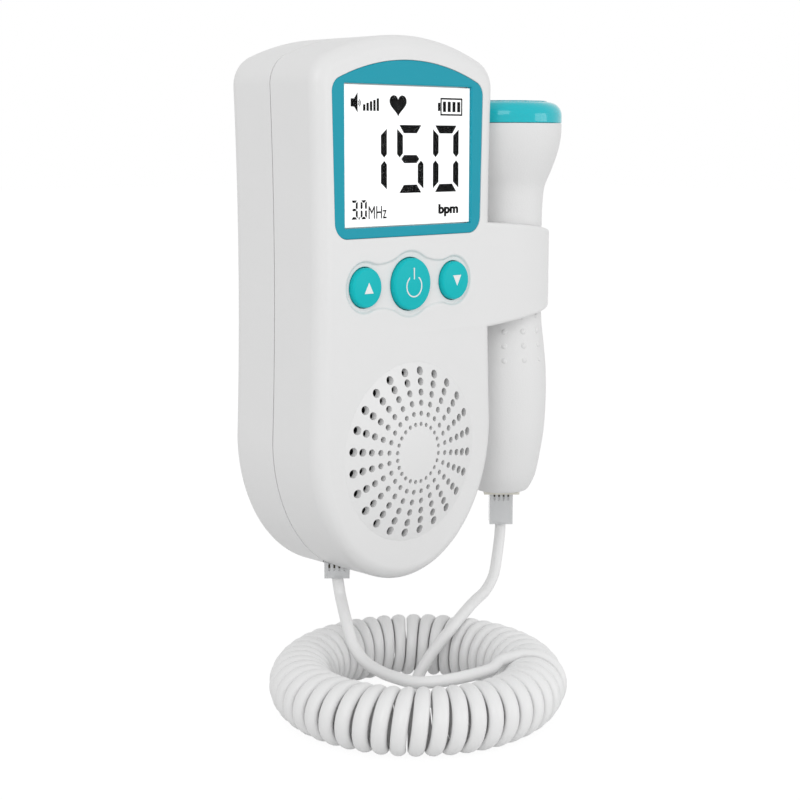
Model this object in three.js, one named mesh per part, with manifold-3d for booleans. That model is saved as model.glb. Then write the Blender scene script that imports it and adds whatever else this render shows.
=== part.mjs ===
// A pocket fetal doppler monitor: a two-shell housing with a lit display, three buttons and a domed
// grille moulded into its face, an ultrasound probe clipped in a holder on its right side, and the curly cord
// that joins them, lying in a ring below.
//
// Millimetres. X points to the right of the face, Y to the rear and Z up. The origin lies on the flat
// rear face, straight behind the centre of the loudspeaker.

import * as THREE from "three";
import { mergeGeometries, mergeVertices } from "three/addons/utils/BufferGeometryUtils.js";
import Module from "manifold-3d";

const wasm = await Module();
wasm.setup();

// Clearances
const clearance = 0.3; // round and behind pieces that sit in others
const seamGap = 0.3; // the fine dark line between the two shells
const glassGap = 0.1; // between the clear window and the display under it
const overrun = 1; // how far a cutter reaches past what it cuts

// Housing
const depth = 31.9;
const lowerHalf = 31.3; // half the width at the round lower end
const footCentre = 4; // height at which the round lower end starts
const footReach = 36.7; // from there down to its lowest place
const shoulderHalf = 30.75; // half the width at the shoulders
const waistDraw = 1.9; // how far the sides are drawn in between the two
const cornerRadius = 7.6;
const archRadius = 68; // the crown of the top
const topHeight = 101.9;
const edgeRadius = 3.3; // the rounding round the front and the rear face
const sideWall = 2.2;
const frontWall = 2.4;
const rearWall = 2.6;
const seamBack = 15.5; // from the rear face to the seam
const lipHeight = 1.5; // the tongue of the rear shell that laps the front shell
const lipWall = 0.7;

// Screws and their posts
const screwHeadRadius = 1.9;
const screwHeadHeight = 1.4;
const screwShankRadius = 1;
const screwLength = 10.5;
const screwRecessRadius = 0.9;
const screwRecessDepth = 0.8;
const postWall = 1;
const postFloor = 2.2;
const upperScrewX = 13;
const upperScrewInset = 7.2; // down from the crown
const lowerScrewInset = 6; // in from the round lower end
const lowerScrewTurn = THREE.MathUtils.degToRad(-38);

// Display
const windowHalf = 21.9; // half the width of the opening in the bezel
const windowLow = 56.2;
const windowHeight = 33.8;
const bezelTopHalf = 25.8;
const bezelFootHalf = 25.1;
const bezelLow = 53.8;
const bezelFootRadius = 4;
const bezelCornerRadius = 3.5;
const bezelArchInset = 6.1; // from the housing's crown down to the bezel's
const bezelThickness = 1.4;
const bezelSunk = 0.1; // below the face
const pocketDepth = 1.8;
const ledgeMargin = 0.5; // how much wider the ledge's opening is than the window
const glassThickness = 0.5;
const displayThickness = 2.8;
const trayWall = 0.6;

// Buttons, on one level across the face
const buttonZ = 42;
const buttonSpacing = 15.4;
const powerRadius = 6.4;
const sideRadius = 4.8;
const buttonProud = 1.2;
const buttonCrown = 0.35;
const buttonEdge = 0.6;
const buttonTravel = 1;
const flangeWidth = 1.1;
const flangeThickness = 0.9;
const recessDepth = 0.5;
const recessSideRadius = 6.3;
const recessPowerRadius = 8.2;

// Keypad and main board
const boardThickness = 1.6;
const boardLow = 27;
const boardInset = 0.9;
const boardFront = 7.4; // from the face to the board
const matThickness = 1.2;
const matMargin = 2.6;
const domeFootRadius = 3.2;
const domeTopRadius = 1.8;
const pegRadius = 1.5;
const pegInset = 4.9; // in from the housing's side
const pegLowZ = 31;
const pegHighZ = 51;

// Loudspeaker and its grille
const grilleRadius = 22.6;
const grilleRise = 3;
const grilleWall = 1.5;
const ringCount = 6;
const spokeCount = 24;
const outerRingRadius = 20.4;
const ringStep = 2.62;
const outerHoleRadius = 1.1;
const innerHoleRadius = 0.55;
const speakerRadius = 22.2;
const speakerRim = 1.8;
const speakerRimThickness = 1.4;
const speakerDepth = 9;
const basketWall = 1;
const magnetRadius = 9.5;
const magnetThickness = 4.5;
const coneWall = 0.6;
const coneDepth = 5;
const dustCapRadius = 5;

// Battery bay, two cells side by side behind a door in the rear shell
const cellRadius = 7.1;
const cellLength = 49.2;
const cellNubRadius = 2.7;
const cellNubHeight = 1.2;
const cellPitch = 14.9;
const bayLow = 14;
const bayWall = 1.3;
const bayFloorGap = 0.3;
const doorThickness = 1.6;
const doorMargin = 2.2; // how far the door laps the bay's opening all round
const doorCornerRadius = 2.5;
const gripRibCount = 4;
const gripRibWidth = 13;
const gripRibHeight = 0.9;
const gripRibDepth = 0.5;
const gripRibPitch = 2.1;
const hookWidth = 5;
const hookReach = 1.5;
const hookThickness = 1.1;
const hookX = 9;
const contactThickness = 0.5;
const contactWidth = 9;
const springWire = 0.8;
const springRadius = 3;
const springTipRadius = 1.9;
const springTurns = 2.5;
const springPitch = 1.7;

// Probe
const headGap = 2.95; // between the housing's shoulder and the probe's head
const probeSunk = 13; // from the face back to the probe's axis
const probeFoot = -18.8;
const probeNeck = 54;
const probeHeadLow = 81.4; // the joint between the handle and the cap
const probeTop = 87.5;
const neckRadius = 10.33;
const gripRadius = 12.12;
const footHalf = 7.2; // the flat under the handle
const headRadius = 15.3;
const handleWall = 1.7;
const capEdgeRadius = 3.6;
const capCrown = 0.5;
const lensRadius = 11.2;
const lensThickness = 1.2;
const capRoof = 1.6;
const capWall = 1.5;
const crystalRadius = 8.5;
const crystalThickness = 0.8;
const crystalGap = 1;
const holderThickness = 2.4;
const probeBoardLength = 44;
const probeBoardThickness = 1.2;
const probeBoardFoot = 2;

// Holder on the right side
const bandBore = 10.9; // radius of the channel that the probe's neck lies in
const bandOuter = 12.35;
const bandLegEnd = 8; // from the rear face to the end of the outer leg
const bandInnerHigh = 56.3; // the band's height at the housing
const bandInnerLow = 28.8;
const bandOuterHigh = 52.6;
const bandOuterLow = 33;
const bandCornerRadius = 2.6;

// Plugs and sockets
const plugWidth = 6.4;
const plugThickness = 5.6;
const plugInserted = 6;
const probePlugShown = 8.8;
const unitPlugShown = 4;
const plugTurn = -Math.PI / 4;
const plugNoseDraw = 0.5;
const contactCount = 4;
const contactSlotWidth = 0.5;
const contactSlotDepth = 0.5;
const contactSlotLength = 4;
const socketWall = 1.4;
const socketRoof = 3;
const collarHeight = 1;
const unitPlugX = -10.1;
const unitSocketLow = -29.2; // where the plug's shoulder stops

// Curly cord
const strandRadius = 1.4;
const curlWidth = 3.35; // of the strand in the curls, where there is room for it
const curlSpace = 0.5; // from one curl to the next, where they crowd
const coilRadius = 8; // over the curls
const ringRadius = 28.8;
const ringX = -6.1;
const ringFront = 8.3; // from the face forward to the ring's centre
const ringZ = -56;
const curlCount = 46.5;
const curlSteps = 8;
const strandSides = 5;
const ringStart = THREE.MathUtils.degToRad(-50);
const ringGap = THREE.MathUtils.degToRad(10);
const startLift = 0.8; // the first half curl rides over its neighbour
const leadSides = 8;
const leadStep = 7.5;

// Facets
const arcSteps = 4;
const bevelSteps = 2;
const roundSteps = 20;
const holeSides = 6;
const pinSides = 12;
const cellSides = 16;

// Planes and heights that follow
const front = -depth;
const faceInner = front + frontWall;
const rearInner = -rearWall;
const seam = -seamBack;
const seamFront = seam - seamGap / 2;
const seamRear = seam + seamGap / 2;
const archCentre = topHeight - archRadius;
const windowHigh = windowLow + windowHeight;
const footLow = footCentre - footReach;
const probeX = shoulderHalf + headGap + headRadius;
const probeY = front + probeSunk;
const ringY = front - ringFront;
const reach = 2 * topHeight;

// Helpers
const upright = Math.PI / 2;

function solid(geometry) {
  const bare = geometry.clone();
  bare.deleteAttribute("normal");
  bare.deleteAttribute("uv");
  const merged = mergeVertices(bare, 1e-4);
  const made = new wasm.Manifold(new wasm.Mesh({
    numProp: 3,
    vertProperties: new Float32Array(merged.attributes.position.array),
    triVerts: new Uint32Array(merged.index.array),
  }));
  return made;
}

function geometryOf(manifold) {
  const mesh = manifold.getMesh();
  const geometry = new THREE.BufferGeometry();
  geometry.setAttribute("position", new THREE.BufferAttribute(mesh.vertProperties, 3));
  geometry.setIndex(new THREE.BufferAttribute(mesh.triVerts, 1));
  return geometry;
}

// A box between two corners.
function block(low, high) {
  const size = high.map((value, axis) => value - low[axis]);
  const centre = high.map((value, axis) => (value + low[axis]) / 2);
  return new THREE.BoxGeometry(...size).translate(...centre);
}

// A front-view shape made a plate between two depths.
function plate(shape, nearY, farY, steps = arcSteps) {
  const geometry = new THREE.ExtrudeGeometry(shape, {
    depth: farY - nearY,
    bevelEnabled: false,
    curveSegments: steps,
  });
  return geometry.rotateX(upright).translate(0, farY, 0);
}

// A profile of [radius, height] pairs turned about the vertical.
function turned(profile, steps = roundSteps) {
  const points = profile.map(([radius, height]) => new THREE.Vector2(radius, height));
  return new THREE.LatheGeometry(points, steps);
}

// The same, but about an axis that runs from front to rear: heights are then depths.
function turnedAcross(profile, x, z, steps = roundSteps) {
  return turned(profile, steps).rotateY(Math.PI / steps).translate(x, 0, z);
}

function turnedUp(profile, x, y, steps = roundSteps) {
  return turned(profile, steps).rotateX(upright).translate(x, y, 0);
}

// A round pin from front to rear.
function pinAcross(radius, nearY, farY, x, z, sides = pinSides) {
  const pin = new THREE.CylinderGeometry(radius, radius, farY - nearY, sides);
  return pin.translate(x, (nearY + farY) / 2, z);
}

// A closed tube through rings of points: each ring has the same number of corners.
function skin(rings) {
  const sides = rings[0].length;
  const positions = rings.flat().flatMap((point) => point.toArray());
  const index = [];
  for (let ring = 0; ring + 1 < rings.length; ring += 1) {
    for (let side = 0; side < sides; side += 1) {
      const next = (side + 1) % sides;
      const a = ring * sides + side;
      const b = ring * sides + next;
      index.push(a, b, b + sides, a, b + sides, a + sides);
    }
  }
  const last = (rings.length - 1) * sides;
  for (let side = 1; side + 1 < sides; side += 1) {
    index.push(0, side + 1, side);
    index.push(last, last + side, last + side + 1);
  }
  const geometry = new THREE.BufferGeometry();
  geometry.setAttribute("position", new THREE.Float32BufferAttribute(positions, 3));
  geometry.setIndex(index);
  return geometry;
}

// Housing outlines, seen from the front and drawn in by an inset.
function housingOutline(inset) {
  const low = footReach - inset;
  const foot = lowerHalf - inset;
  const shoulder = shoulderHalf - inset;
  const cornerX = shoulderHalf - cornerRadius;
  const cornerReach = archRadius - cornerRadius;
  const cornerZ = archCentre + Math.sqrt(cornerReach ** 2 - cornerX ** 2);
  const turn = Math.atan2(cornerZ - archCentre, cornerX);
  const waistX = (foot + shoulder) / 2 - waistDraw;
  const waistZ = (footCentre + cornerZ) / 2;
  const shape = new THREE.Shape();
  shape.moveTo(0, footCentre - low);
  shape.absellipse(0, footCentre, foot, low, -upright, 0, false, 0);
  shape.quadraticCurveTo(waistX, waistZ, shoulder, cornerZ);
  shape.absarc(cornerX, cornerZ, cornerRadius - inset, 0, turn, false);
  shape.absarc(0, archCentre, archRadius - inset, turn, Math.PI - turn, false);
  shape.absarc(-cornerX, cornerZ, cornerRadius - inset, Math.PI - turn, Math.PI, false);
  shape.quadraticCurveTo(-waistX, waistZ, -foot, footCentre);
  shape.absellipse(0, footCentre, foot, low, Math.PI, Math.PI + upright, false, 0);
  return shape;
}

function housingBlock() {
  const geometry = new THREE.ExtrudeGeometry(housingOutline(0), {
    depth: depth - 2 * edgeRadius,
    bevelEnabled: true,
    bevelThickness: edgeRadius,
    bevelSize: edgeRadius,
    bevelOffset: -edgeRadius,
    bevelSegments: bevelSteps,
    curveSegments: arcSteps,
  });
  return geometry.rotateX(upright).translate(0, -edgeRadius, 0);
}

function slab(nearY, farY) {
  return block([-reach, nearY, -reach], [reach, farY, reach]);
}

// The bezel's arched outline; spread makes its pocket.
function bezelOutline(spread) {
  const foot = bezelFootHalf + spread;
  const top = bezelTopHalf + spread;
  const low = bezelLow - spread;
  const footRound = bezelFootRadius + spread;
  const cornerRound = bezelCornerRadius + spread;
  const arch = archRadius - bezelArchInset + spread;
  const cornerX = top - cornerRound;
  const cornerZ = archCentre + Math.sqrt((arch - cornerRound) ** 2 - cornerX ** 2);
  const turn = Math.atan2(cornerZ - archCentre, cornerX);
  const shape = new THREE.Shape();
  shape.moveTo(footRound - foot, low);
  shape.absarc(foot - footRound, low + footRound, footRound, -upright, 0, false);
  shape.absarc(cornerX, cornerZ, cornerRound, 0, turn, false);
  shape.absarc(0, archCentre, arch, turn, Math.PI - turn, false);
  shape.absarc(-cornerX, cornerZ, cornerRound, Math.PI - turn, Math.PI, false);
  shape.absarc(footRound - foot, low + footRound, footRound, Math.PI, Math.PI + upright, false);
  return shape;
}

// A rectangle of the window's size, made larger or smaller all round.
function windowBlock(spread, nearY, farY) {
  return block(
    [-windowHalf - spread, nearY, windowLow - spread],
    [windowHalf + spread, farY, windowHigh + spread],
  );
}

const upperScrewZ = topHeight - upperScrewInset;
const lowerScrewX = (lowerHalf - lowerScrewInset) * Math.cos(lowerScrewTurn);
const lowerScrewZ = (lowerHalf - lowerScrewInset) * Math.sin(lowerScrewTurn);
const screwPlaces = [
  [-upperScrewX, upperScrewZ],
  [upperScrewX, upperScrewZ],
  [-lowerScrewX, lowerScrewZ],
  [lowerScrewX, lowerScrewZ],
];
const counterboreRadius = screwHeadRadius + clearance;
const postRadius = counterboreRadius + postWall;
const headSeat = seam + postFloor;
const shankHole = screwShankRadius + clearance;

const buttons = [
  { name: "up_button", x: -buttonSpacing, radius: sideRadius },
  { name: "power_button", x: 0, radius: powerRadius },
  { name: "down_button", x: buttonSpacing, radius: sideRadius },
];

const board = front + boardFront;
const boardBack = board + boardThickness;

// The shallow three-lobed recess that the buttons stand in.
function recessOutline() {
  const shape = new THREE.Shape();
  const sideTurn = THREE.MathUtils.degToRad(68);
  const powerTurn = THREE.MathUtils.degToRad(122);
  const handle = (buttonSpacing - recessPowerRadius) / 3;
  const at = (x, radius, angle) => [x + radius * Math.cos(angle), buttonZ + radius * Math.sin(angle)];
  const along = ([x, z], angle, length) => [x + length * Math.sin(angle), z - length * Math.cos(angle)];
  // A smooth dip between two lobes, entered and left along their circles.
  const dip = (from, fromTurn, to, toTurn) => {
    shape.bezierCurveTo(...along(from, fromTurn, handle), ...along(to, toTurn, -handle), ...to);
  };
  const lobes = [
    { x: -buttonSpacing, radius: recessSideRadius, enter: 2 * Math.PI - sideTurn, leave: sideTurn },
    { x: 0, radius: recessPowerRadius, enter: powerTurn, leave: Math.PI - powerTurn },
    { x: buttonSpacing, radius: recessSideRadius, enter: Math.PI - sideTurn, leave: sideTurn - Math.PI },
    { x: 0, radius: recessPowerRadius, enter: powerTurn - Math.PI, leave: -powerTurn },
  ];
  const [left, middle, right, middleBack] = lobes;
  const starts = lobes.map((lobe) => at(lobe.x, lobe.radius, lobe.enter));
  shape.moveTo(...starts[0]);
  shape.absarc(left.x, buttonZ, left.radius, left.enter, left.leave, true);
  dip(at(left.x, left.radius, left.leave), left.leave, starts[1], middle.enter);
  shape.absarc(0, buttonZ, middle.radius, middle.enter, middle.leave, true);
  dip(at(0, middle.radius, middle.leave), middle.leave, starts[2], right.enter);
  shape.absarc(right.x, buttonZ, right.radius, right.enter, right.leave, true);
  dip(at(right.x, right.radius, right.leave), right.leave, starts[3], middleBack.enter);
  shape.absarc(0, buttonZ, middleBack.radius, middleBack.enter, middleBack.leave, true);
  dip(at(0, middleBack.radius, middleBack.leave), middleBack.leave, starts[0], left.enter);
  return shape;
}

// Holder: a band flush with the face that wraps the probe's neck and is open to the rear.
const bandRoot = shoulderHalf - waistDraw - edgeRadius; // on the flat of the face

function bandPlan() {
  const wrapStart = THREE.MathUtils.degToRad(-75);
  const wrapX = probeX + bandOuter * Math.cos(wrapStart);
  const wrapY = probeY + bandOuter * Math.sin(wrapStart);
  const lead = bandOuter / 3;
  const legEnd = -bandLegEnd;
  const legWall = bandOuter - bandBore;
  const shape = new THREE.Shape();
  shape.moveTo(bandRoot, front);
  shape.lineTo(probeX - bandOuter, front);
  shape.bezierCurveTo(
    probeX - bandOuter + lead, front,
    wrapX + lead * Math.sin(wrapStart), wrapY - lead * Math.cos(wrapStart),
    wrapX, wrapY,
  );
  shape.absarc(probeX, probeY, bandOuter, wrapStart, 0, false);
  shape.lineTo(probeX + bandOuter, legEnd - legWall / 2);
  shape.absarc(probeX + bandOuter - legWall / 2, legEnd - legWall / 2, legWall / 2, 0, Math.PI, false);
  shape.lineTo(probeX + bandBore, probeY);
  shape.absarc(probeX, probeY, bandBore, 0, -Math.PI, true);
  shape.lineTo(probeX - bandBore, seamFront);
  shape.lineTo(bandRoot, seamFront);
  return shape;
}

// The band seen from the front: it narrows away from the housing and has rounded corners.
function bandFrontView() {
  const tip = probeX + bandOuter + overrun;
  const round = probeX + bandOuter - bandCornerRadius;
  const softening = bandCornerRadius / 2;
  const bend = probeX;
  const shape = new THREE.Shape();
  shape.moveTo(bandRoot, bandInnerLow);
  shape.quadraticCurveTo(bend, bandInnerLow + softening, round, bandOuterLow);
  shape.quadraticCurveTo(tip, bandOuterLow + softening, tip, bandOuterLow + 2 * bandCornerRadius);
  shape.lineTo(tip, bandOuterHigh - 2 * bandCornerRadius);
  shape.quadraticCurveTo(tip, bandOuterHigh - softening, round, bandOuterHigh);
  shape.quadraticCurveTo(bend, bandInnerHigh - softening, bandRoot, bandInnerHigh);
  return shape;
}

function band() {
  const wrap = new THREE.ExtrudeGeometry(bandPlan(), {
    depth: bandInnerHigh - bandInnerLow + 2 * overrun,
    bevelEnabled: false,
    curveSegments: arcSteps + 1,
  }).translate(0, 0, bandInnerLow - overrun);
  const view = plate(bandFrontView(), front - overrun, 0);
  return solid(wrap).intersect(solid(view));
}

const pieces = new THREE.Group();

// Turns a closed surface that faces inwards the right way out.
const cornersPerFace = 3;

function facingOut(geometry) {
  const points = geometry.attributes.position;
  const index = geometry.index;
  const corner = (at) => new THREE.Vector3().fromBufferAttribute(points, index ? index.getX(at) : at);
  const count = index ? index.count : points.count;
  let volume = 0;
  for (let at = 0; at < count; at += cornersPerFace) {
    volume += corner(at).dot(corner(at + 1).cross(corner(at + 2)));
  }
  if (volume < 0) {
    for (let at = 0; at < count; at += cornersPerFace) {
      const kept = index.getX(at + 1);
      index.setX(at + 1, index.getX(at + 2));
      index.setX(at + 2, kept);
    }
  }
  return geometry;
}

function add(name, shape, color, roughness = 0.5, metalness = 0) {
  const geometry = facingOut(shape.isBufferGeometry ? shape : geometryOf(shape));
  geometry.computeVertexNormals();
  const material = new THREE.MeshStandardMaterial({ color, roughness, metalness });
  const mesh = new THREE.Mesh(geometry, material);
  mesh.name = name;
  pieces.add(mesh);
  return mesh;
}

const white = 0xe4e4e4;
const teal = 0x2fa9b8;
const brightTeal = 0x28bfc8;
const darkMetal = 0x8a8a8e;
const brightMetal = 0xc9cacc;
const green = 0x2f6b45;
const clear = 0xdfe6e8;
const black = 0x202226;
const jacket = 0x3b4046;
const cream = 0xe9e6da;
const displayWhite = 0xf4f6f6;
const rubberGrey = 0xbfc4c6;
const ceramic = 0xb9a98a;

// Unit socket and plug place
const plugShoulder = plugInserted + clearance;

function plugOutline(spread) {
  return [plugWidth / 2 + spread, plugThickness / 2 + spread];
}

// A cutter for a socket's mouth: the plug's section with clearance, turned to the plug's bearing.
function socketMouth(x, y, low, high) {
  const [halfWidth, halfDepth] = plugOutline(clearance);
  return block([-halfWidth, -halfDepth, low], [halfWidth, halfDepth, high])
    .rotateZ(plugTurn)
    .translate(x, y, 0);
}

const unitPlugY = seam;

function frontShell() {
  const cavity = solid(plate(housingOutline(sideWall), faceInner, overrun));
  const rebateInset = sideWall - lipWall - clearance;
  const rebate = solid(plate(housingOutline(rebateInset), seam - lipHeight - clearance, seam));
  let shell = solid(housingBlock()).intersect(solid(slab(front - overrun, seamFront)));
  shell = shell.add(band()).subtract(cavity).subtract(rebate);
  for (const [x, z] of screwPlaces) {
    const postEnd = seam - clearance - seamGap;
    const post = solid(pinAcross(postRadius, faceInner - clearance, postEnd, x, z));
    const pilotEnd = headSeat - screwLength - overrun;
    const pilot = solid(pinAcross(shankHole, pilotEnd, seam + overrun, x, z, holeSides));
    shell = shell.add(post).subtract(pilot);
  }
  const pegX = shoulderHalf - pegInset;
  for (const x of [-pegX, pegX]) {
    for (const z of [pegLowZ, pegHighZ]) {
      shell = shell.add(solid(pinAcross(pegRadius, faceInner - clearance, board - clearance, x, z)));
    }
  }
  const grilleMouth = grilleRadius - grilleWall / 2;
  shell = shell
    .subtract(solid(plate(bezelOutline(clearance), front - overrun, front + pocketDepth)))
    .subtract(solid(windowBlock(ledgeMargin, front - overrun, faceInner + overrun)))
    .subtract(solid(plate(recessOutline(), front - overrun, front + recessDepth)))
    .subtract(solid(pinAcross(grilleMouth, front - overrun, faceInner + overrun, 0, 0, spokeCount)))
    .add(grille());
  for (const button of buttons) {
    const bore = button.radius + clearance;
    const hole = pinAcross(bore, front - overrun, faceInner + overrun, button.x, buttonZ, roundSteps);
    shell = shell.subtract(solid(hole));
  }
  const mouth = socketMouth(unitPlugX, unitPlugY, footLow - overrun, unitSocketLow + plugInserted);
  return shell.subtract(solid(mouth)).subtract(solid(grilleHoles()));
}

// Battery bay sizes
const bayHalf = cellPitch / 2 + cellRadius + bayFloorGap;
const springLength = springTurns * springPitch + springWire;
const contactDepth = contactThickness + clearance;
const bayHigh = bayLow + 2 * contactDepth + springLength + cellLength + cellNubHeight + 2 * clearance;
const cellY = -(doorThickness + 2 * clearance + cellRadius);
const bayFloor = cellY - cellRadius - bayFloorGap;
const doorHalf = bayHalf + doorMargin;
const doorLow = bayLow - doorMargin;
const doorHigh = bayHigh + doorMargin;

function roundedPanel(half, low, high, radius) {
  const shape = new THREE.Shape();
  shape.moveTo(radius - half, low);
  shape.absarc(half - radius, low + radius, radius, -upright, 0, false);
  shape.absarc(half - radius, high - radius, radius, 0, upright, false);
  shape.absarc(radius - half, high - radius, radius, upright, Math.PI, false);
  shape.absarc(radius - half, low + radius, radius, Math.PI, Math.PI + upright, false);
  return shape;
}

const hookDepth = -(doorThickness + 2 * clearance + rearWall - doorThickness);
const hookSweep = hookThickness + hookReach; // room for the hook to turn in

function rearShell() {
  const cavity = solid(plate(housingOutline(sideWall), front, rearInner));
  const lip = solid(plate(housingOutline(sideWall - lipWall), seam - lipHeight, seamRear + clearance))
    .subtract(solid(plate(housingOutline(sideWall), front, overrun)));
  let shell = solid(housingBlock()).intersect(solid(slab(seamRear, overrun))).subtract(cavity).add(lip);
  for (const [x, z] of screwPlaces) {
    shell = shell.add(solid(pinAcross(postRadius, seam, rearInner + clearance, x, z)));
  }
  const bayBlock = block(
    [-bayHalf - bayWall, bayFloor - bayWall, bayLow - bayWall],
    [bayHalf + bayWall, rearInner + clearance, bayHigh + bayWall],
  );
  shell = shell.add(solid(bayBlock));
  for (const [x, z] of screwPlaces) {
    shell = shell
      .subtract(solid(pinAcross(counterboreRadius, headSeat, overrun, x, z)))
      .subtract(solid(pinAcross(shankHole, seam - overrun, headSeat + overrun, x, z, holeSides)));
  }
  const doorway = roundedPanel(
    doorHalf + clearance,
    doorLow - clearance,
    doorHigh + clearance,
    doorCornerRadius + clearance,
  );
  shell = shell
    .subtract(solid(block([-bayHalf, bayFloor, bayLow], [bayHalf, overrun, bayHigh])))
    .subtract(solid(plate(doorway, -doorThickness - clearance, overrun)));
  for (const x of [-hookX, hookX]) {
    const half = hookWidth / 2 + clearance;
    shell = shell.subtract(solid(block(
      [x - half, hookDepth - hookSweep, doorLow - clearance],
      [x + half, -doorThickness, bayLow + overrun],
    )));
    shell = shell.subtract(solid(block(
      [x - half, hookDepth - hookSweep, doorLow - hookReach - 2 * clearance],
      [x + half, rearInner, doorLow],
    )));
  }
  const mouth = socketMouth(unitPlugX, unitPlugY, footLow - overrun, unitSocketLow + plugInserted);
  return shell.subtract(solid(mouth));
}

function batteryDoor() {
  let door = solid(plate(roundedPanel(doorHalf, doorLow, doorHigh, doorCornerRadius), -doorThickness, 0));
  for (const x of [-hookX, hookX]) {
    const half = hookWidth / 2;
    const neckHigh = bayLow + clearance;
    const outer = hookDepth;
    const inner = outer - hookThickness;
    door = door
      .add(solid(block([x - half, inner, bayLow - doorMargin / 2], [x + half, -doorThickness / 2, neckHigh])))
      .add(solid(block([x - half, inner, doorLow - hookReach], [x + half, outer, neckHigh])));
  }
  // Finger ribs, cut as shallow grooves at the top of the door.
  for (let rib = 0; rib < gripRibCount; rib += 1) {
    const low = doorHigh - doorMargin - (rib + 1) * gripRibPitch;
    door = door.subtract(solid(block(
      [-gripRibWidth / 2, -gripRibDepth, low],
      [gripRibWidth / 2, overrun, low + gripRibHeight],
    )));
  }
  return door;
}

function displayBezel() {
  const near = front + bezelSunk;
  const far = near + bezelThickness;
  return solid(plate(bezelOutline(0), near, far)).subtract(solid(windowBlock(0, front - overrun, overrun)));
}

const glassNear = front + bezelSunk;
const displayNear = glassNear + glassThickness + glassGap;
const displayFar = displayNear + displayThickness;

function displayTray() {
  const outer = windowBlock(trayWall, faceInner + clearance, board - clearance);
  const inner = windowBlock(0, front, displayFar + clearance);
  return solid(outer).subtract(solid(inner));
}

function mainBoard() {
  const inset = sideWall + boardInset;
  let made = solid(plate(housingOutline(inset), board, boardBack))
    .intersect(solid(block([-reach, front, boardLow], [reach, 0, reach])));
  for (const [x, z] of screwPlaces) {
    made = made.subtract(solid(pinAcross(postRadius + clearance, front, 0, x, z)));
  }
  return made;
}

function keypadMat() {
  const half = buttonSpacing + sideRadius + matMargin;
  const high = buttonZ + powerRadius + matMargin;
  const low = buttonZ - powerRadius - matMargin;
  const back = board - clearance;
  const base = plate(roundedPanel(half, low, high, matMargin), back - matThickness, back);
  let mat = solid(base);
  // The domes stop short of the pressed buttons.
  const domeTop = faceInner + flangeThickness + buttonTravel + 2 * clearance;
  for (const button of buttons) {
    const dome = turnedAcross([
      [0, domeTop],
      [domeTopRadius, domeTop],
      [domeFootRadius, back - matThickness + clearance],
      [0, back - matThickness + clearance],
    ], button.x, buttonZ, pinSides);
    mat = mat.add(solid(dome));
  }
  return mat;
}

function button(x, radius) {
  const crown = front - buttonProud;
  const flangeNear = faceInner + clearance;
  const profile = [
    [0, crown],
    [radius * 0.6, crown + buttonCrown * 0.3],
    [radius - buttonEdge, crown + buttonCrown],
    [radius, crown + buttonCrown + buttonEdge],
    [radius, flangeNear],
    [radius + flangeWidth, flangeNear],
    [radius + flangeWidth, flangeNear + flangeThickness],
    [0, flangeNear + flangeThickness],
  ];
  return turnedAcross(profile, x, buttonZ);
}

// The grille: a shallow dome of even wall, pierced by rings of holes that shrink towards its middle.
// Its facets are laid out round the holes, one hole to a facet.
const domeSphere = (grilleRadius ** 2 + grilleRise ** 2) / (2 * grilleRise);

function domeDepth(radius, sphere) {
  return front + domeSphere - grilleRise - Math.sqrt(sphere ** 2 - radius ** 2);
}

function grilleHoles() {
  const cutters = [];
  for (let ring = 0; ring < ringCount; ring += 1) {
    const radius = outerRingRadius - ring * ringStep;
    const share = ring / (ringCount - 1);
    const hole = outerHoleRadius + (innerHoleRadius - outerHoleRadius) * share;
    const length = grilleRise + 2 * frontWall + 2 * overrun;
    for (let spoke = 0; spoke < spokeCount; spoke += 1) {
      const angle = (2 * Math.PI * (spoke + 1 / 2)) / spokeCount;
      const cutter = new THREE.CylinderGeometry(hole, hole, length, holeSides);
      const x = radius * Math.cos(angle);
      const z = radius * Math.sin(angle);
      cutters.push(cutter.rotateY(-angle).translate(x, front, z));
    }
  }
  return mergeGeometries(cutters);
}

function grille() {
  const inside = domeSphere - grilleWall;
  const innerEdge = grilleRadius - grilleWall;
  const outer = [[0, domeDepth(0, domeSphere)]];
  const inner = [[0, domeDepth(0, inside)]];
  for (let ring = ringCount - 1; ring >= 0; ring -= 1) {
    const radius = outerRingRadius - (ring + 1 / 2) * ringStep;
    outer.push([radius, domeDepth(radius, domeSphere)]);
    inner.push([radius, domeDepth(radius, inside)]);
  }
  outer.push([grilleRadius, domeDepth(grilleRadius, domeSphere)]);
  inner.push([innerEdge, domeDepth(innerEdge, inside)]);
  const profile = [...outer, [grilleRadius, faceInner], [innerEdge, faceInner], ...inner.reverse()];
  return solid(turned(profile, spokeCount)).subtract(solid(grilleHoles()));
}

// The loudspeaker behind the grille
const speakerFace = faceInner + clearance;
const speakerBack = speakerFace + speakerDepth;

function speakerBasket() {
  const rimInner = speakerRadius - speakerRim;
  const rimFar = speakerFace + speakerRimThickness;
  const profile = [
    [rimInner, speakerFace],
    [speakerRadius, speakerFace],
    [speakerRadius, rimFar],
    [magnetRadius, speakerBack],
    [dustCapRadius, speakerBack],
    [dustCapRadius, speakerBack - basketWall],
    [magnetRadius - basketWall, speakerBack - basketWall],
    [rimInner, rimFar],
    [rimInner, speakerFace],
  ];
  return turnedAcross(profile, 0, 0, cellSides);
}

function speakerCone() {
  const edge = speakerRadius - speakerRim - clearance;
  const near = speakerFace + coneWall;
  const profile = [
    [0, near + coneDepth - coneWall],
    [dustCapRadius, near + coneDepth],
    [edge - 2 * coneWall, near + coneWall],
    [edge - coneWall, near],
    [edge, near + coneWall],
    [edge - 2 * coneWall, near + 2 * coneWall],
    [dustCapRadius, near + coneDepth + coneWall],
    [0, near + coneDepth],
  ];
  return turnedAcross(profile, 0, 0, cellSides);
}

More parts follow.
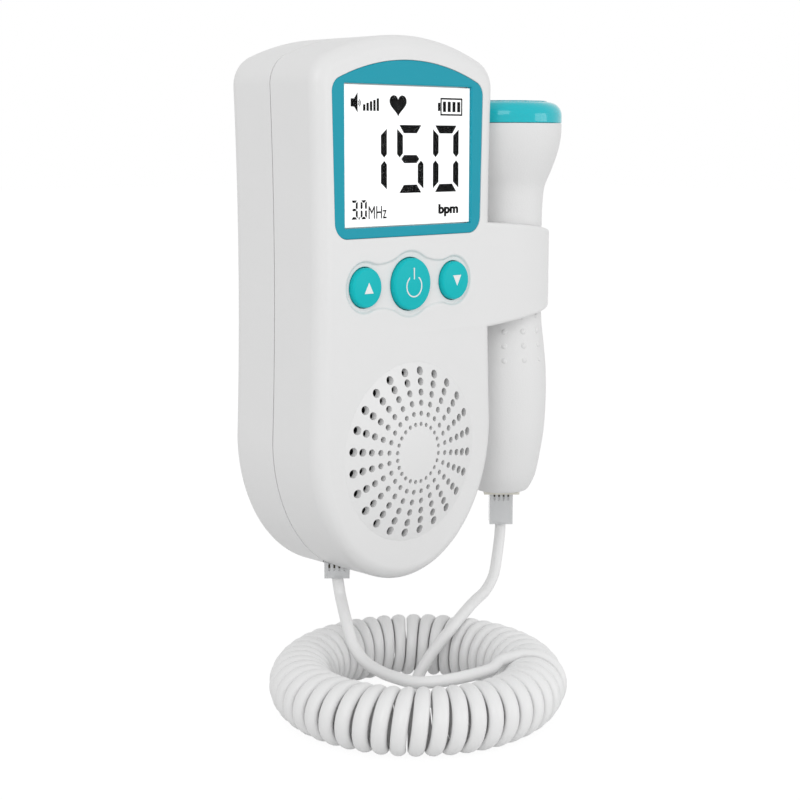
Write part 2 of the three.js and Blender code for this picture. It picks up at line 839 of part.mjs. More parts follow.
function speakerMagnet() {
  const near = speakerBack + clearance;
  const far = near + magnetThickness;
  const edge = basketWall / 2;
  const profile = [
    [0, near],
    [magnetRadius, near],
    [magnetRadius, far - edge],
    [magnetRadius - edge, far],
    [0, far],
  ];
  return turnedAcross(profile, 0, 0, cellSides);
}

function caseScrew(x, z) {
  const head = headSeat + screwHeadHeight;
  const edge = screwHeadHeight / 3;
  const profile = [
    [0, headSeat - screwLength],
    [screwShankRadius, headSeat - screwLength + screwShankRadius],
    [screwShankRadius, headSeat],
    [screwHeadRadius, headSeat],
    [screwHeadRadius, head - edge],
    [screwHeadRadius - edge, head],
    [0, head],
  ];
  const body = solid(turnedAcross(profile, x, z, pinSides)).translate([0, seamGap / 3, 0]);
  const half = screwRecessDepth / 3;
  const top = head + overrun;
  const floor = head - screwRecessDepth;
  return body
    .subtract(solid(block([x - screwRecessRadius, floor, z - half], [x + screwRecessRadius, top, z + half])))
    .subtract(solid(block([x - half, floor, z - screwRecessRadius], [x + half, top, z + screwRecessRadius])));
}

// Batteries: the left cell stands nub up, the right one nub down.
const cellLow = bayLow + contactDepth;

function cell(x, nubUp) {
  const edge = cellNubHeight / 2;
  const shortLow = bayLow + contactDepth + clearance;
  const springLow = shortLow + springLength;
  const low = nubUp ? springLow : shortLow + cellNubHeight;
  const high = low + cellLength;
  const nub = nubUp ? high + cellNubHeight : low - cellNubHeight;
  const foot = nubUp ? low : high;
  const shoulder = nubUp ? high : low;
  const sign = nubUp ? 1 : -1;
  const profile = [
    [0, foot],
    [cellRadius - edge, foot],
    [cellRadius, foot + sign * edge],
    [cellRadius, shoulder - sign * edge],
    [cellRadius - edge, shoulder],
    [cellNubRadius, shoulder],
    [cellNubRadius, nub],
    [0, nub],
  ];
  if (!nubUp) profile.reverse();
  return turnedUp(profile, x, cellY, cellSides);
}

// A tapering wire spring with its ends closed flat.
function contactSpring(x, foot, sign) {
  const steps = Math.round(springTurns * curlSteps);
  const rings = [];
  for (let step = 0; step <= steps; step += 1) {
    const share = step / steps;
    const angle = sign * share * springTurns * 2 * Math.PI;
    const radius = springRadius + (springTipRadius - springRadius) * share;
    const centre = new THREE.Vector3(
      x + radius * Math.cos(angle),
      cellY + radius * Math.sin(angle),
      foot + sign * (springWire / 2 + share * springTurns * springPitch),
    );
    const outward = new THREE.Vector3(Math.cos(angle), Math.sin(angle), 0);
    const ring = [];
    for (let side = 0; side < strandSides; side += 1) {
      const turn = (2 * Math.PI * side) / strandSides;
      ring.push(centre.clone()
        .addScaledVector(outward, (springWire / 2) * Math.cos(turn))
        .add(new THREE.Vector3(0, 0, -(springWire / 2) * Math.sin(turn))));
    }
    rings.push(ring);
  }
  return skin(rings);
}

function contactPlate(x, low) {
  const half = contactWidth / 2;
  return block([x - half, cellY - half, low], [x + half, cellY + half, low + contactThickness]);
}

// Plug: a clear modular plug with four contact slots in its front face.
function plug(x, y, shoulder, shown) {
  const [halfWidth, halfDepth] = plugOutline(0);
  const high = shoulder + plugInserted;
  const low = shoulder - shown;
  let body = solid(block([-halfWidth, -halfDepth, low], [halfWidth, halfDepth, high - plugNoseDraw]));
  const nose = block(
    [-halfWidth + plugNoseDraw, -halfDepth + plugNoseDraw, high - plugNoseDraw - clearance],
    [halfWidth - plugNoseDraw, halfDepth - plugNoseDraw, high],
  );
  body = body.add(solid(nose));
  const pitch = plugWidth / (contactCount + 1);
  for (let slot = 0; slot < contactCount; slot += 1) {
    const centre = (slot - (contactCount - 1) / 2) * pitch;
    const half = contactSlotWidth / 2;
    const slotLow = shoulder - contactSlotLength / 2;
    body = body.subtract(solid(block(
      [centre - half, -halfDepth - overrun, slotLow],
      [centre + half, -halfDepth + contactSlotDepth, slotLow + contactSlotLength],
    )));
  }
  return geometryOf(body).rotateZ(plugTurn).translate(x, y, 0);
}

// Socket: a block with the plug's opening below, and a collar where it shows.
function socket(x, y, shoulder, low) {
  const [halfWidth, halfDepth] = plugOutline(clearance + socketWall);
  const high = shoulder + plugInserted + socketRoof;
  const body = block([-halfWidth, -halfDepth, low], [halfWidth, halfDepth, high])
    .rotateZ(plugTurn)
    .translate(x, y, 0);
  return solid(body).subtract(solid(socketMouth(x, y, low - overrun, shoulder + plugShoulder)));
}

function unitSocket() {
  const room = solid(plate(housingOutline(sideWall + clearance), front, 0));
  return socket(unitPlugX, unitPlugY, unitSocketLow, footLow).intersect(room);
}

// Probe, turned about its own axis
const collarLow = probeFoot - collarHeight;

const handleShares = [
  // share of the way from the foot to the neck, and from the foot's flat to the grip's widest
  [0.006, 0.09], [0.024, 0.245], [0.058, 0.46], [0.149, 0.73], [0.236, 0.915], [0.348, 1],
];

function handleProfile() {
  const length = probeNeck - probeFoot;
  const span = gripRadius - footHalf;
  const neckSpan = gripRadius - neckRadius;
  const head = probeHeadLow - probeNeck;
  const headSpan = headRadius - neckRadius;
  const lower = handleShares.map(([up, out]) => [footHalf + span * out, probeFoot + length * up]);
  const waist = [[0.46, 0.06], [0.572, 0.5], [0.643, 0.83], [0.735, 0.96], [0.857, 1], [1, 1]];
  const middle = waist.map(([up, inward]) => [gripRadius - neckSpan * inward, probeFoot + length * up]);
  const flare = [[0.23, 0.03], [0.39, 0.13], [0.55, 0.48], [0.73, 0.82], [0.89, 0.98], [1, 1]];
  const upper = flare.map(([up, out]) => [neckRadius + headSpan * out, probeNeck + head * up]);
  return [[footHalf, probeFoot], ...lower, ...middle, ...upper];
}

const boreShare = 3; // the bore follows every third point of the outside

function probeHandle() {
  const outer = handleProfile();
  const bottom = outer[0];
  const bore = outer.slice(2).filter(([, height], index) => index % boreShare === 0 || height > probeNeck);
  const inner = bore.map(([radius, height]) => [radius - handleWall, height]);
  const floor = probeFoot + handleWall;
  const profile = [
    [0, bottom[1]],
    ...outer,
    ...inner.reverse().slice(0, -1),
    [footHalf, floor + handleWall],
    [0, floor + handleWall],
  ];
  const shell = solid(turnedUp(profile, probeX, probeY));
  const [halfWidth, halfDepth] = plugOutline(2 * clearance + socketWall);
  const slotHigh = probeFoot + 4 * handleWall;
  const slot = block([-halfWidth, -halfDepth, probeFoot - overrun], [halfWidth, halfDepth, slotHigh])
    .rotateZ(plugTurn)
    .translate(probeX, probeY, 0);
  return shell.subtract(solid(slot));
}

function probeCap() {
  const low = probeHeadLow + clearance;
  const edge = capEdgeRadius;
  const top = probeTop - capCrown;
  const profile = [];
  const mouth = headRadius - handleWall - clearance;
  const spigotLow = low - 2 * capWall;
  profile.push([mouth - capWall, spigotLow], [mouth, spigotLow], [mouth, low], [headRadius, low]);
  for (let step = 0; step <= arcSteps; step += 1) {
    const turn = (upright * step) / arcSteps;
    profile.push([headRadius - edge + edge * Math.cos(turn), top - edge + edge * Math.sin(turn)]);
  }
  profile.push(
    [lensRadius + clearance, top + capCrown / 2],
    [lensRadius + clearance, probeTop - capCrown - lensThickness],
    [crystalRadius + clearance, probeTop - capCrown - lensThickness],
    [crystalRadius + clearance, top - capRoof - edge / 2],
    [mouth - capWall, top - capRoof - edge],
    [mouth - capWall, spigotLow],
  );
  return turnedUp(profile, probeX, probeY);
}

const lensLow = probeTop - capCrown - lensThickness + clearance;

function probeLens() {
  const profile = [
    [0, lensLow],
    [lensRadius, lensLow],
    [lensRadius, lensLow + lensThickness],
    [lensRadius / 2, probeTop - clearance / 3],
    [0, probeTop],
  ];
  return turnedUp(profile, probeX, probeY);
}

const crystalHigh = lensLow - clearance;
const crystalLow = crystalHigh - crystalThickness;

// Two half discs side by side: one sends, the other listens.
function crystal(side) {
  const shape = new THREE.Shape();
  const reachTurn = Math.acos(crystalGap / 2 / crystalRadius);
  shape.absarc(0, 0, crystalRadius, -reachTurn, reachTurn, false);
  const geometry = new THREE.ExtrudeGeometry(shape, {
    depth: crystalThickness,
    bevelEnabled: false,
    curveSegments: arcSteps,
  });
  return geometry.rotateZ(side > 0 ? 0 : Math.PI).translate(probeX, probeY, crystalLow);
}

function crystalHolder() {
  const high = crystalLow - clearance;
  const low = high - holderThickness;
  const profile = [
    [0, low],
    [crystalRadius, low],
    [crystalRadius, high],
    [0, high],
  ];
  return turnedUp(profile, probeX, probeY);
}

// The board fits the bore of the handle's neck.
function probeBoard() {
  const half = probeBoardThickness / 2;
  const halfWidth = (neckRadius - handleWall) * Math.cos(Math.PI / roundSteps) - clearance;
  return block(
    [-halfWidth, -half, probeBoardFoot],
    [halfWidth, half, probeBoardFoot + probeBoardLength],
  ).translate(probeX, probeY, 0);
}

function probeSocket() {
  return socket(probeX, probeY, collarLow, collarLow);
}

// Curly cord: one strand wound round a ring.
const curlRadius = coilRadius - strandRadius;
const pace = (2 * Math.PI - ringGap) / curlCount; // from curl to curl, round the ring

function smooth(share) {
  const held = Math.min(Math.max(share, 0), 1);
  return held * held * (3 - 2 * held);
}

// The strand's centre after so many curls, with its width as a share of a round strand's.
function curlPoint(curls) {
  const ring = ringStart - pace * curls;
  const phase = upright - 2 * Math.PI * curls;
  const radius = curlRadius + startLift * (1 - smooth(2 * curls));
  const outward = new THREE.Vector3(Math.cos(ring), Math.sin(ring), 0);
  const centre = new THREE.Vector3(ringX, ringY, ringZ)
    .addScaledVector(outward, ringRadius + radius * Math.cos(phase));
  centre.z += radius * Math.sin(phase);
  const room = pace * (ringRadius + radius * Math.cos(phase)) - curlSpace;
  return { centre, outward, phase, pinch: Math.min(curlWidth, room) / (2 * strandRadius) };
}

function curlRing(curls) {
  const { centre, outward, phase, pinch } = curlPoint(curls);
  const along = curlPoint(curls + 1 / 64).centre.sub(curlPoint(curls - 1 / 64).centre).normalize();
  const away = outward.clone().multiplyScalar(Math.cos(phase));
  away.z += Math.sin(phase);
  const across = new THREE.Vector3().crossVectors(along, away).normalize();
  const level = new THREE.Vector3().crossVectors(across, along).normalize();
  return { centre, along, across, level, pinch };
}

function strandSection({ centre, across, level, pinch }) {
  const ring = [];
  for (let side = 0; side < strandSides; side += 1) {
    const turn = (2 * Math.PI * side) / strandSides;
    ring.push(centre.clone()
      .addScaledVector(level, strandRadius * Math.cos(turn))
      .addScaledVector(across, strandRadius * pinch * Math.sin(turn)));
  }
  return ring;
}

function straightEnd(curls, sign) {
  const frame = curlRing(curls);
  frame.centre.addScaledVector(frame.along, sign * 2 * strandRadius);
  return frame;
}

function cordCoil() {
  const steps = curlCount * curlSteps;
  const frames = [straightEnd(0, -1)];
  for (let step = 0; step <= steps; step += 1) frames.push(curlRing(step / curlSteps));
  frames.push(straightEnd(curlCount, 1));
  const rings = frames.map(strandSection);
  let least = Infinity;
  for (let first = 0; first < rings.length; first += 1) {
    for (let other = first + curlSteps - 2; other < rings.length; other += 1) {
      if (frames[first].centre.distanceTo(frames[other].centre) > 4 * strandRadius) continue;
      for (const point of rings[first]) {
        for (const match of rings[other]) least = Math.min(least, point.distanceTo(match));
      }
    }
  }
  console.log(`cord coil: ${curlCount} curls, least gap to itself ${least.toFixed(2)} mm`);
  return skin(rings);
}

// Leads: free stretches from each plug to an end of the coil, through points chosen by hand.
const unitLeadPoints = [
  [-10.1, -15.5, -33.5], [-10, -16.3, -37.7], [-11.4, -18.9, -40.5], [-13.2, -22.3, -43.7],
  [-14.5, -25.9, -48.2], [-15.3, -30.4, -50.9], [-16.7, -37.9, -51.8], [-18.4, -45.4, -51.2],
  [-18.2, -51.9, -50.8], [-14.8, -56.4, -50.2], [-10.5, -58.1, -50.1], [-4.7, -58.9, -50.2],
  [0.8, -59, -50.2], [5.6, -57.8, -49.6],
];
const probeLeadPoints = [
  [49, -18.9, -28.9], [48.7, -18.9, -32.5], [47, -19.5, -38], [44.3, -20.7, -42.6],
  [39, -22.6, -45.5], [31, -25.9, -46.2], [22, -30.9, -46], [13.5, -33.4, -48.6],
  [7.4, -32.4, -54], [2.4, -31.9, -60], [-1.5, -35.9, -62.4], [-1.2, -42.9, -62.6],
  [2.5, -49.9, -62.6],
];

function lead(points, end) {
  const path = new THREE.CatmullRomCurve3([
    ...points.map((point) => new THREE.Vector3(...point)),
    end.centre.clone().addScaledVector(end.along, -2 * strandRadius * end.sign),
    end.centre.clone().addScaledVector(end.along, -end.sign * clearance),
  ], false, "centripetal");
  const section = new THREE.Shape();
  section.absarc(0, 0, strandRadius, 0, 2 * Math.PI, false);
  const steps = Math.round(path.getLength() / leadStep);
  console.log(`lead: ${path.getLength().toFixed(0)} mm in ${steps} steps`);
  return new THREE.ExtrudeGeometry(section, {
    steps,
    bevelEnabled: false,
    extrudePath: path,
    curveSegments: leadSides / 2,
  });
}

add("front_shell", frontShell(), white, 0.45);
add("rear_shell", rearShell(), white, 0.45);
add("battery_door", batteryDoor(), white, 0.45);
add("display_bezel", displayBezel(), teal, 0.35);
add("display_window", windowBlock(-clearance, glassNear, glassNear + glassThickness), clear, 0.1);
add("display_panel", windowBlock(-clearance, displayNear, displayFar), displayWhite, 0.3);
add("display_tray", displayTray(), white, 0.5);
add("main_board", mainBoard(), green, 0.5);
add("keypad_mat", keypadMat(), rubberGrey, 0.8);
for (const item of buttons) add(item.name, button(item.x, item.radius), brightTeal, 0.35);
add("speaker_basket", speakerBasket(), darkMetal, 0.4, 0.8);
add("speaker_cone", speakerCone(), black, 0.9);
add("speaker_magnet", speakerMagnet(), darkMetal, 0.4, 0.8);
screwPlaces.forEach(([x, z], index) => {
  add(`case_screw_${index + 1}`, caseScrew(x, z), brightMetal, 0.3, 0.9);
});
[-1, 1].forEach((side, index) => {
  const x = (side * cellPitch) / 2;
  const nubUp = side < 0;
  const number = index + 1;
  add(`battery_${number}`, cell(x, nubUp), jacket, 0.4, 0.3);
  const lowPlate = bayLow + clearance;
  const highPlate = bayHigh - clearance - contactThickness;
  add(`contact_plate_${number}`, contactPlate(x, nubUp ? highPlate : lowPlate), brightMetal, 0.3, 0.9);
  const springPlate = nubUp ? cellLow : bayHigh - contactDepth;
  add(`contact_spring_${number}`, contactSpring(x, springPlate, nubUp ? 1 : -1), brightMetal, 0.3, 0.9);
});
add("unit_socket", unitSocket(), cream, 0.5);
add("unit_plug", plug(unitPlugX, unitPlugY, unitSocketLow, unitPlugShown), clear, 0.1);
add("probe_handle", probeHandle(), white, 0.6);
add("probe_cap", probeCap(), brightTeal, 0.2);
add("probe_lens", probeLens(), teal, 0.25);
add("transmit_crystal", crystal(1), ceramic, 0.5);
add("receive_crystal", crystal(-1), ceramic, 0.5);
add("crystal_holder", crystalHolder(), black, 0.8);
add("probe_board", probeBoard(), green, 0.5);
add("probe_socket", probeSocket(), cream, 0.5);
add("probe_plug", plug(probeX, probeY, collarLow, probePlugShown), clear, 0.1);
const coilStart = straightEnd(0, -1);
const coilEnd = straightEnd(curlCount, 1);
add("cord_coil", cordCoil(), white, 0.5);
add("cord_lead_unit", lead(unitLeadPoints, { ...coilStart, sign: 1 }), white, 0.5);
add("cord_lead_probe", lead(probeLeadPoints, { ...coilEnd, sign: -1 }), white, 0.5);

export default pieces;
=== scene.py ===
# %% [markdown]
# # A pocket fetal doppler monitor, dressed in Blender
# The monitor is a two-shell plastic housing with a lit display, three buttons and a domed loudspeaker
# grille. An ultrasound probe is clipped in a holder on its right side, and a curly cord joins the two.
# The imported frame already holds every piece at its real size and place. This lesson gives each surface
# its fine shape and its finish, one piece at a time, without moving anything.

# %% Load the frame
import math

import bmesh
import bpy
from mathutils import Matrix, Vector
from mathutils.geometry import tessellate_polygon


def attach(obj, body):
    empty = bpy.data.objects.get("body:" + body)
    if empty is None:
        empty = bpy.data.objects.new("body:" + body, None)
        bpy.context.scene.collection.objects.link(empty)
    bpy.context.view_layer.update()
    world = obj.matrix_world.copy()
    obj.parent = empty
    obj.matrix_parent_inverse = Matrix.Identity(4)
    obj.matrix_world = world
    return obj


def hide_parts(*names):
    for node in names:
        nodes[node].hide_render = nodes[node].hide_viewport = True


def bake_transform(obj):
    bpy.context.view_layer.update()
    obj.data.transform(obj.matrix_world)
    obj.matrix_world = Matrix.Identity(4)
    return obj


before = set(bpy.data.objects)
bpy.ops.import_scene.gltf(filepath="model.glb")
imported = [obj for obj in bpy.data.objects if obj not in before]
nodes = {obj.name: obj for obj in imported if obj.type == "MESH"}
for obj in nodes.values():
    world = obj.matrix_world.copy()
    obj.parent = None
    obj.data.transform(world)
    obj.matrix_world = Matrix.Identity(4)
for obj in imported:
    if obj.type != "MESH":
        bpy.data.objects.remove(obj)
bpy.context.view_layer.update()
MM = 0.001

# %% [markdown]
# ## The camera
# A product picture is taken from far away with a long lens, which keeps upright edges upright. This
# camera stands at the left of the face and a little above it, at the angle of the picture that the
# model follows. It is made first, so that everything after it can be judged through it.

# %% Camera
CAMERA_PLACE = (-276.95, -305.15, 75.91)
CAMERA_DIP = 9.174  # degrees below the horizon
CAMERA_TURN = 44.989  # degrees from straight ahead
LENS = 71.27

lens = bpy.data.cameras.new("camera")
lens.lens = LENS
lens.sensor_width = 36
camera = bpy.data.objects.new("camera", lens)
camera.location = Vector(CAMERA_PLACE) * MM
camera.rotation_euler = (math.radians(90 - CAMERA_DIP), 0, math.radians(-CAMERA_TURN))
bpy.context.scene.collection.objects.link(camera)
bpy.context.scene.camera = camera
bpy.context.scene.view_settings.view_transform = "Standard"
print("camera:", CAMERA_PLACE, "mm")

# %% [markdown]
# ## Node graphs written as sums
# Node trees are easier to read as arithmetic. A small class wraps a node's output, so that an
# expression such as `1 - mask * 0.5` adds its own Math nodes. One method adds every other kind of
# node: it takes the node's type, its settings, and the values or links of its sockets.

# %% Values and graphs
class Value:
    """A node's output that can be used in a sum."""

    def __init__(self, graph, socket):
        self.graph = graph
        self.socket = socket

    def maths(self, operation, *operands):
        return self.graph.node("ShaderNodeMath", {"operation": operation}, dict(enumerate(operands)))

    def __add__(self, other):
        return self.maths("ADD", self, other)

    def __sub__(self, other):
        return self.maths("SUBTRACT", self, other)

    def __rsub__(self, other):
        return self.maths("SUBTRACT", other, self)

    def __mul__(self, other):
        return self.maths("MULTIPLY", self, other)

    def __truediv__(self, other):
        return self.maths("DIVIDE", self, other)

    __radd__ = __add__
    __rmul__ = __mul__


class Graph:
    """A node tree with one method that adds any node."""

    def __init__(self, tree):
        self.tree = tree

    def node(self, kind, settings=(), inputs=(), output=0):
        made = self.tree.nodes.new(kind)
        for name, value in dict(settings).items():
            if name == "stops":
                ramp = made.color_ramp.elements
                while len(ramp) < len(value):
                    ramp.new(0.5)
                for stop, (place, color) in zip(ramp, value):
                    stop.position = place
                    stop.color = (*color, 1)
            else:
                setattr(made, name, value)
        self.feed(made, inputs)
        return Value(self, made.outputs[output])

    def feed(self, made, inputs):
        for name, value in dict(inputs).items():
            if isinstance(value, Value):
                self.tree.links.new(value.socket, made.inputs[name])
            else:
                made.inputs[name].default_value = value


# %% [markdown]
# ## Finishes
# Moulded plastic is never one flat colour. Up close its tone drifts a little with the flow of the
# melt, its gloss is uneven, and a spark-eroded mould leaves a fine grain. Each finish here starts with
# the same three layers, at the scale that the real surface has, and adds what is its own. All patterns
# read the object's own coordinates, in metres, so they stay on the piece from every side.

# %% The finish helper
def finish(name, color, roughness, drift=0.03, uneven=0.05, grain=0.0, grain_size=0.35, **fixed):
    """A material with a drifting tone, uneven gloss and a fine grain of the given size in millimetres."""
    material = bpy.data.materials.new(name)
    material.use_nodes = True
    graph = Graph(material.node_tree)
    shader = material.node_tree.nodes["Principled BSDF"]
    place = graph.node("ShaderNodeTexCoord", output="Object")
    cloud = graph.node("ShaderNodeTexNoise", inputs={"Vector": place, "Scale": 60, "Detail": 3})
    darker = (*[part * (1 - drift) for part in color], 1)
    lighter = (*[min(part * (1 + drift), 1) for part in color], 1)
    tone = graph.node(
        "ShaderNodeMix", {"data_type": "RGBA"}, {0: cloud, 6: darker, 7: lighter}, output=2
    )
    rub = graph.node("ShaderNodeTexNoise", inputs={"Vector": place, "Scale": 450, "Detail": 2})
    graph.feed(shader, {"Base Color": tone, "Roughness": rub * (2 * uneven) + (roughness - uneven)})
    if grain:
        spark = graph.node(
            "ShaderNodeTexNoise",
            inputs={"Vector": place, "Scale": 1 / (grain_size * MM), "Detail": 2, "Roughness": 0.6},
        )
        bump = graph.node(
            "ShaderNodeBump", inputs={"Strength": grain, "Distance": 0.05 * MM, "Height": spark}
        )
        graph.feed(shader, {"Normal": bump})
    graph.feed(shader, fixed)
    return material


WHITE = (0.76, 0.76, 0.76)
shell_white = finish("shell_white", WHITE, 0.42, drift=0.012, grain=0.15, grain_size=0.3)
probe_white = finish("probe_white", WHITE, 0.6, drift=0.02, grain=0.8, grain_size=0.4)
inner_white = finish("inner_white", (0.7, 0.7, 0.69), 0.5)
PRINTED = {"Specular IOR Level": 0.1}
bezel_teal = finish("bezel_teal", (0.014, 0.325, 0.425), 0.38, drift=0.03, grain=0.1, **PRINTED)
button_teal = finish("button_teal", (0.007, 0.49, 0.52), 0.4, drift=0.03, grain=0.1, **PRINTED)
cap_teal = finish(
    "cap_teal", (0.005, 0.48, 0.55), 0.22, drift=0.03, uneven=0.03,
    **{"Coat Weight": 0.6, "Coat Roughness": 0.06, **PRINTED},
)
lens_teal = finish("lens_teal", (0.018, 0.4, 0.48), 0.3)
symbol_white = finish("symbol_white", (0.82, 0.82, 0.82), 0.5)
# painted glow: the emission lifts the display panel to pure white, though the panel is no lamp
display_painted_glow = finish(
    "display_painted_glow", (0.85, 0.86, 0.86), 0.35, drift=0.01,
    **{"Emission Color": (1, 1, 1, 1), "Emission Strength": 0.35},
)
segment_black = finish("segment_black", (0.002, 0.002, 0.002), 0.6, **{"Specular IOR Level": 0.02})
window_clear = finish(
    "window_clear", (0.3, 0.31, 0.32), 0.05, uneven=0.01, drift=0.0, Alpha=0.015
)
plug_clear = finish(
    "plug_clear", (0.62, 0.63, 0.64), 0.12, uneven=0.03, drift=0.02,
    **{"Alpha": 0.72, "Coat Weight": 0.5},
)
cord_white = finish("cord_white", (0.81, 0.81, 0.81), 0.45, drift=0.015, grain=0.12)
circuit_board = finish("circuit_board", (0.03, 0.17, 0.07), 0.35, drift=0.1)
keypad_rubber = finish("keypad_rubber", (0.45, 0.47, 0.48), 0.75, grain=0.2)
speaker_steel = finish("speaker_steel", (0.5, 0.5, 0.52), 0.35, Metallic=1.0, grain=0.2)
speaker_paper = finish("speaker_paper", (0.02, 0.02, 0.022), 0.85, grain=0.8, grain_size=0.5)
# painted shade: the contacts are near black for the shade and dark reflections in their slots
contact_painted_shade = finish("contact_painted_shade", (0.05, 0.045, 0.035), 0.4, Metallic=1.0)
bright_metal = finish("bright_metal", (0.62, 0.62, 0.6), 0.25, Metallic=1.0, grain=0.1)
cell_jacket = finish("cell_jacket", (0.035, 0.04, 0.05), 0.3)
socket_cream = finish("socket_cream", (0.78, 0.76, 0.68), 0.45)
crystal_ceramic = finish("crystal_ceramic", (0.55, 0.47, 0.33), 0.5, drift=0.08)
backing_rubber = finish("backing_rubber", (0.02, 0.02, 0.022), 0.8, grain=0.4)
print("finishes:", len(bpy.data.materials))

# %% [markdown]
# ## Surfaces from rings
# Most moulded pieces are a few outlines joined into walls. This class collects points and faces in
# millimetres, bridges ring to ring, and fills a flat face with any openings it has. When a piece is
# done its faces are turned outwards and its hard edges are marked, so that only fillets look round.

# %% The surface helper
class Surface:
    """Points and faces of one piece, in millimetres."""

    def __init__(self):
        self.points = []
        self.faces = []

    def ring(self, points):
        first = len(self.points)
        self.points.extend(points)
        return list(range(first, len(self.points)))

    def strip(self, rings, closed=False):
        pairs = list(zip(rings, rings[1:]))
        if closed:
            pairs.append((rings[-1], rings[0]))
        for lower, upper in pairs:
            count = len(lower)
            for corner in range(count):
                after = (corner + 1) % count
                self.faces.append((lower[corner], lower[after], upper[after], upper[corner]))

    def fill(self, *loops):
        flat = [corner for loop in loops for corner in loop]
        places = [[Vector(self.points[corner]) for corner in loop] for loop in loops]
        for face in tessellate_polygon(places):
            self.faces.append(tuple(flat[corner] for corner in face))

    def prism(self, outline, near, far, holes=()):
        """A plate between two depths, from a front-view outline with any holes."""
        loops = [outline, *holes]
        nears = [self.ring(level(loop, near)) for loop in loops]
        fars = [self.ring(level(loop, far)) for loop in loops]
        for one, other in zip(nears, fars):
            self.strip([one, other])
        self.fill(*nears)
        self.fill(*fars)

    def turn(self, profile, place, segments):
        """A profile of (radius, height) pairs turned about an axis; place puts a point in space."""
        rings = []
        for radius, height in profile:
            around = [2 * math.pi * step / segments for step in range(segments)]
            rings.append(self.ring([
                place(radius * math.cos(angle), radius * math.sin(angle), height) for angle in around
            ]))
        self.strip(rings, closed=profile[0][0] > 0)

    def made(self, name, material, sharp=32):
        mesh = bpy.data.meshes.new(name)
        mesh.from_pydata([[value * MM for value in point] for point in self.points], [], self.faces)
        work = bmesh.new()
        work.from_mesh(mesh)
        bmesh.ops.remove_doubles(work, verts=work.verts, dist=0.0002 * MM)
        bmesh.ops.recalc_face_normals(work, faces=work.faces)
        if work.calc_volume(signed=True) < 0:
            bmesh.ops.reverse_faces(work, faces=work.faces)
        work.to_mesh(mesh)
        work.free()
        mesh.materials.append(material)
        shaded(mesh, sharp)
        piece = bpy.data.objects.new(name, mesh)
        bpy.context.scene.collection.objects.link(piece)
        return piece


def shaded(mesh, sharp=32):
    mesh.shade_smooth()
    mesh.set_sharp_from_angle(angle=math.radians(sharp))


def level(outline, depth):
    """A front-view outline put at a depth."""
    return [(x, depth, z) for x, z in outline]


def joined(piece, tool, operation="UNION", sharp=32):
    """Joins or cuts a piece with a tool, which is used up."""
    step = piece.modifiers.new("step", "BOOLEAN")
    step.operation = operation
    step.solver = "MANIFOLD"
    step.object = tool
    graph = bpy.context.evaluated_depsgraph_get()
    result = bpy.data.meshes.new_from_object(piece.evaluated_get(graph))
    piece.modifiers.clear()
    result.name = piece.name
    piece.data = result
    shaded(result, sharp)
    bpy.data.objects.remove(tool)
    return piece


def block(low, high, turned=0.0, about=(0, 0)):
    """A box between two corners, for cutting, turned about an upright line."""
    surface = Surface()
    corners = [(low[0], low[1]), (high[0], low[1]), (high[0], high[1]), (low[0], high[1])]
    cos, sin = math.cos(turned), math.sin(turned)
    spun = [(about[0] + x * cos - y * sin, about[1] + x * sin + y * cos) for x, y in corners]
    floor = surface.ring([(x, y, low[2]) for x, y in spun])
    roof = surface.ring([(x, y, high[2]) for x, y in spun])
    surface.strip([floor, roof])
    surface.fill(floor)
    surface.fill(roof)
    return surface.made("tool", inner_white)


# %% Outline helpers
def arc(x, z, radius, start, end, steps):
    """Points along an arc, without its last one."""
    turns = [start + (end - start) * step / steps for step in range(steps)]
    return [(x + radius * math.cos(turn), z + radius * math.sin(turn)) for turn in turns]


def bezier(points, steps):
    """Points along a curve through its control points, without its last one."""
    found = []
    for step in range(steps):
        share = step / steps
        level_points = points
        while len(level_points) > 1:
            level_points = [
                tuple(a + (b - a) * share for a, b in zip(one, other))
                for one, other in zip(level_points, level_points[1:])
            ]
        found.append(level_points[0])
    return found


def circle(x, z, radius, steps=64):
    return arc(x, z, radius, 0, 2 * math.pi, steps)


def both_sides(half, top):
    """Closes the right half of an outline, from its foot to its top, with its mirror image."""
    return [*half, (0, top), *[(-x, z) for x, z in reversed(half[1:])]]


def offset(outline, distance):
    """The outline moved outwards along its normals."""
    moved = []
    for index, (x, z) in enumerate(outline):
        before, after = outline[index - 1], outline[(index + 1) % len(outline)]
        along = Vector((after[0] - before[0], after[1] - before[1])).normalized()
        moved.append((x + along.y * distance, z - along.x * distance))
    return moved


def softened(corners, radii, steps=5, hold=0.12):
    """Rounds the corners of a polygon, with a short straight held at each side of a fillet."""
    found = []
    for index, corner in enumerate(corners):
        point = Vector(corner)
        radius = radii[index]
        if not radius:
            found.append(tuple(point))
            continue
        ends = []
        for other in (corners[index - 1], corners[(index + 1) % len(corners)]):
            side = Vector(other) - point
            ends.append(side.normalized())
        found.append(tuple(point + ends[0] * (radius + hold)))
        found.extend(bezier([
            tuple(point + ends[0] * radius), tuple(point), tuple(point + ends[1] * radius)
        ], steps))
        found.append(tuple(point + ends[1] * radius))
        found.append(tuple(point + ends[1] * (radius + hold)))
    return found


def smooth(share):
    held = min(max(share, 0), 1)
    return held * held * (3 - 2 * held)


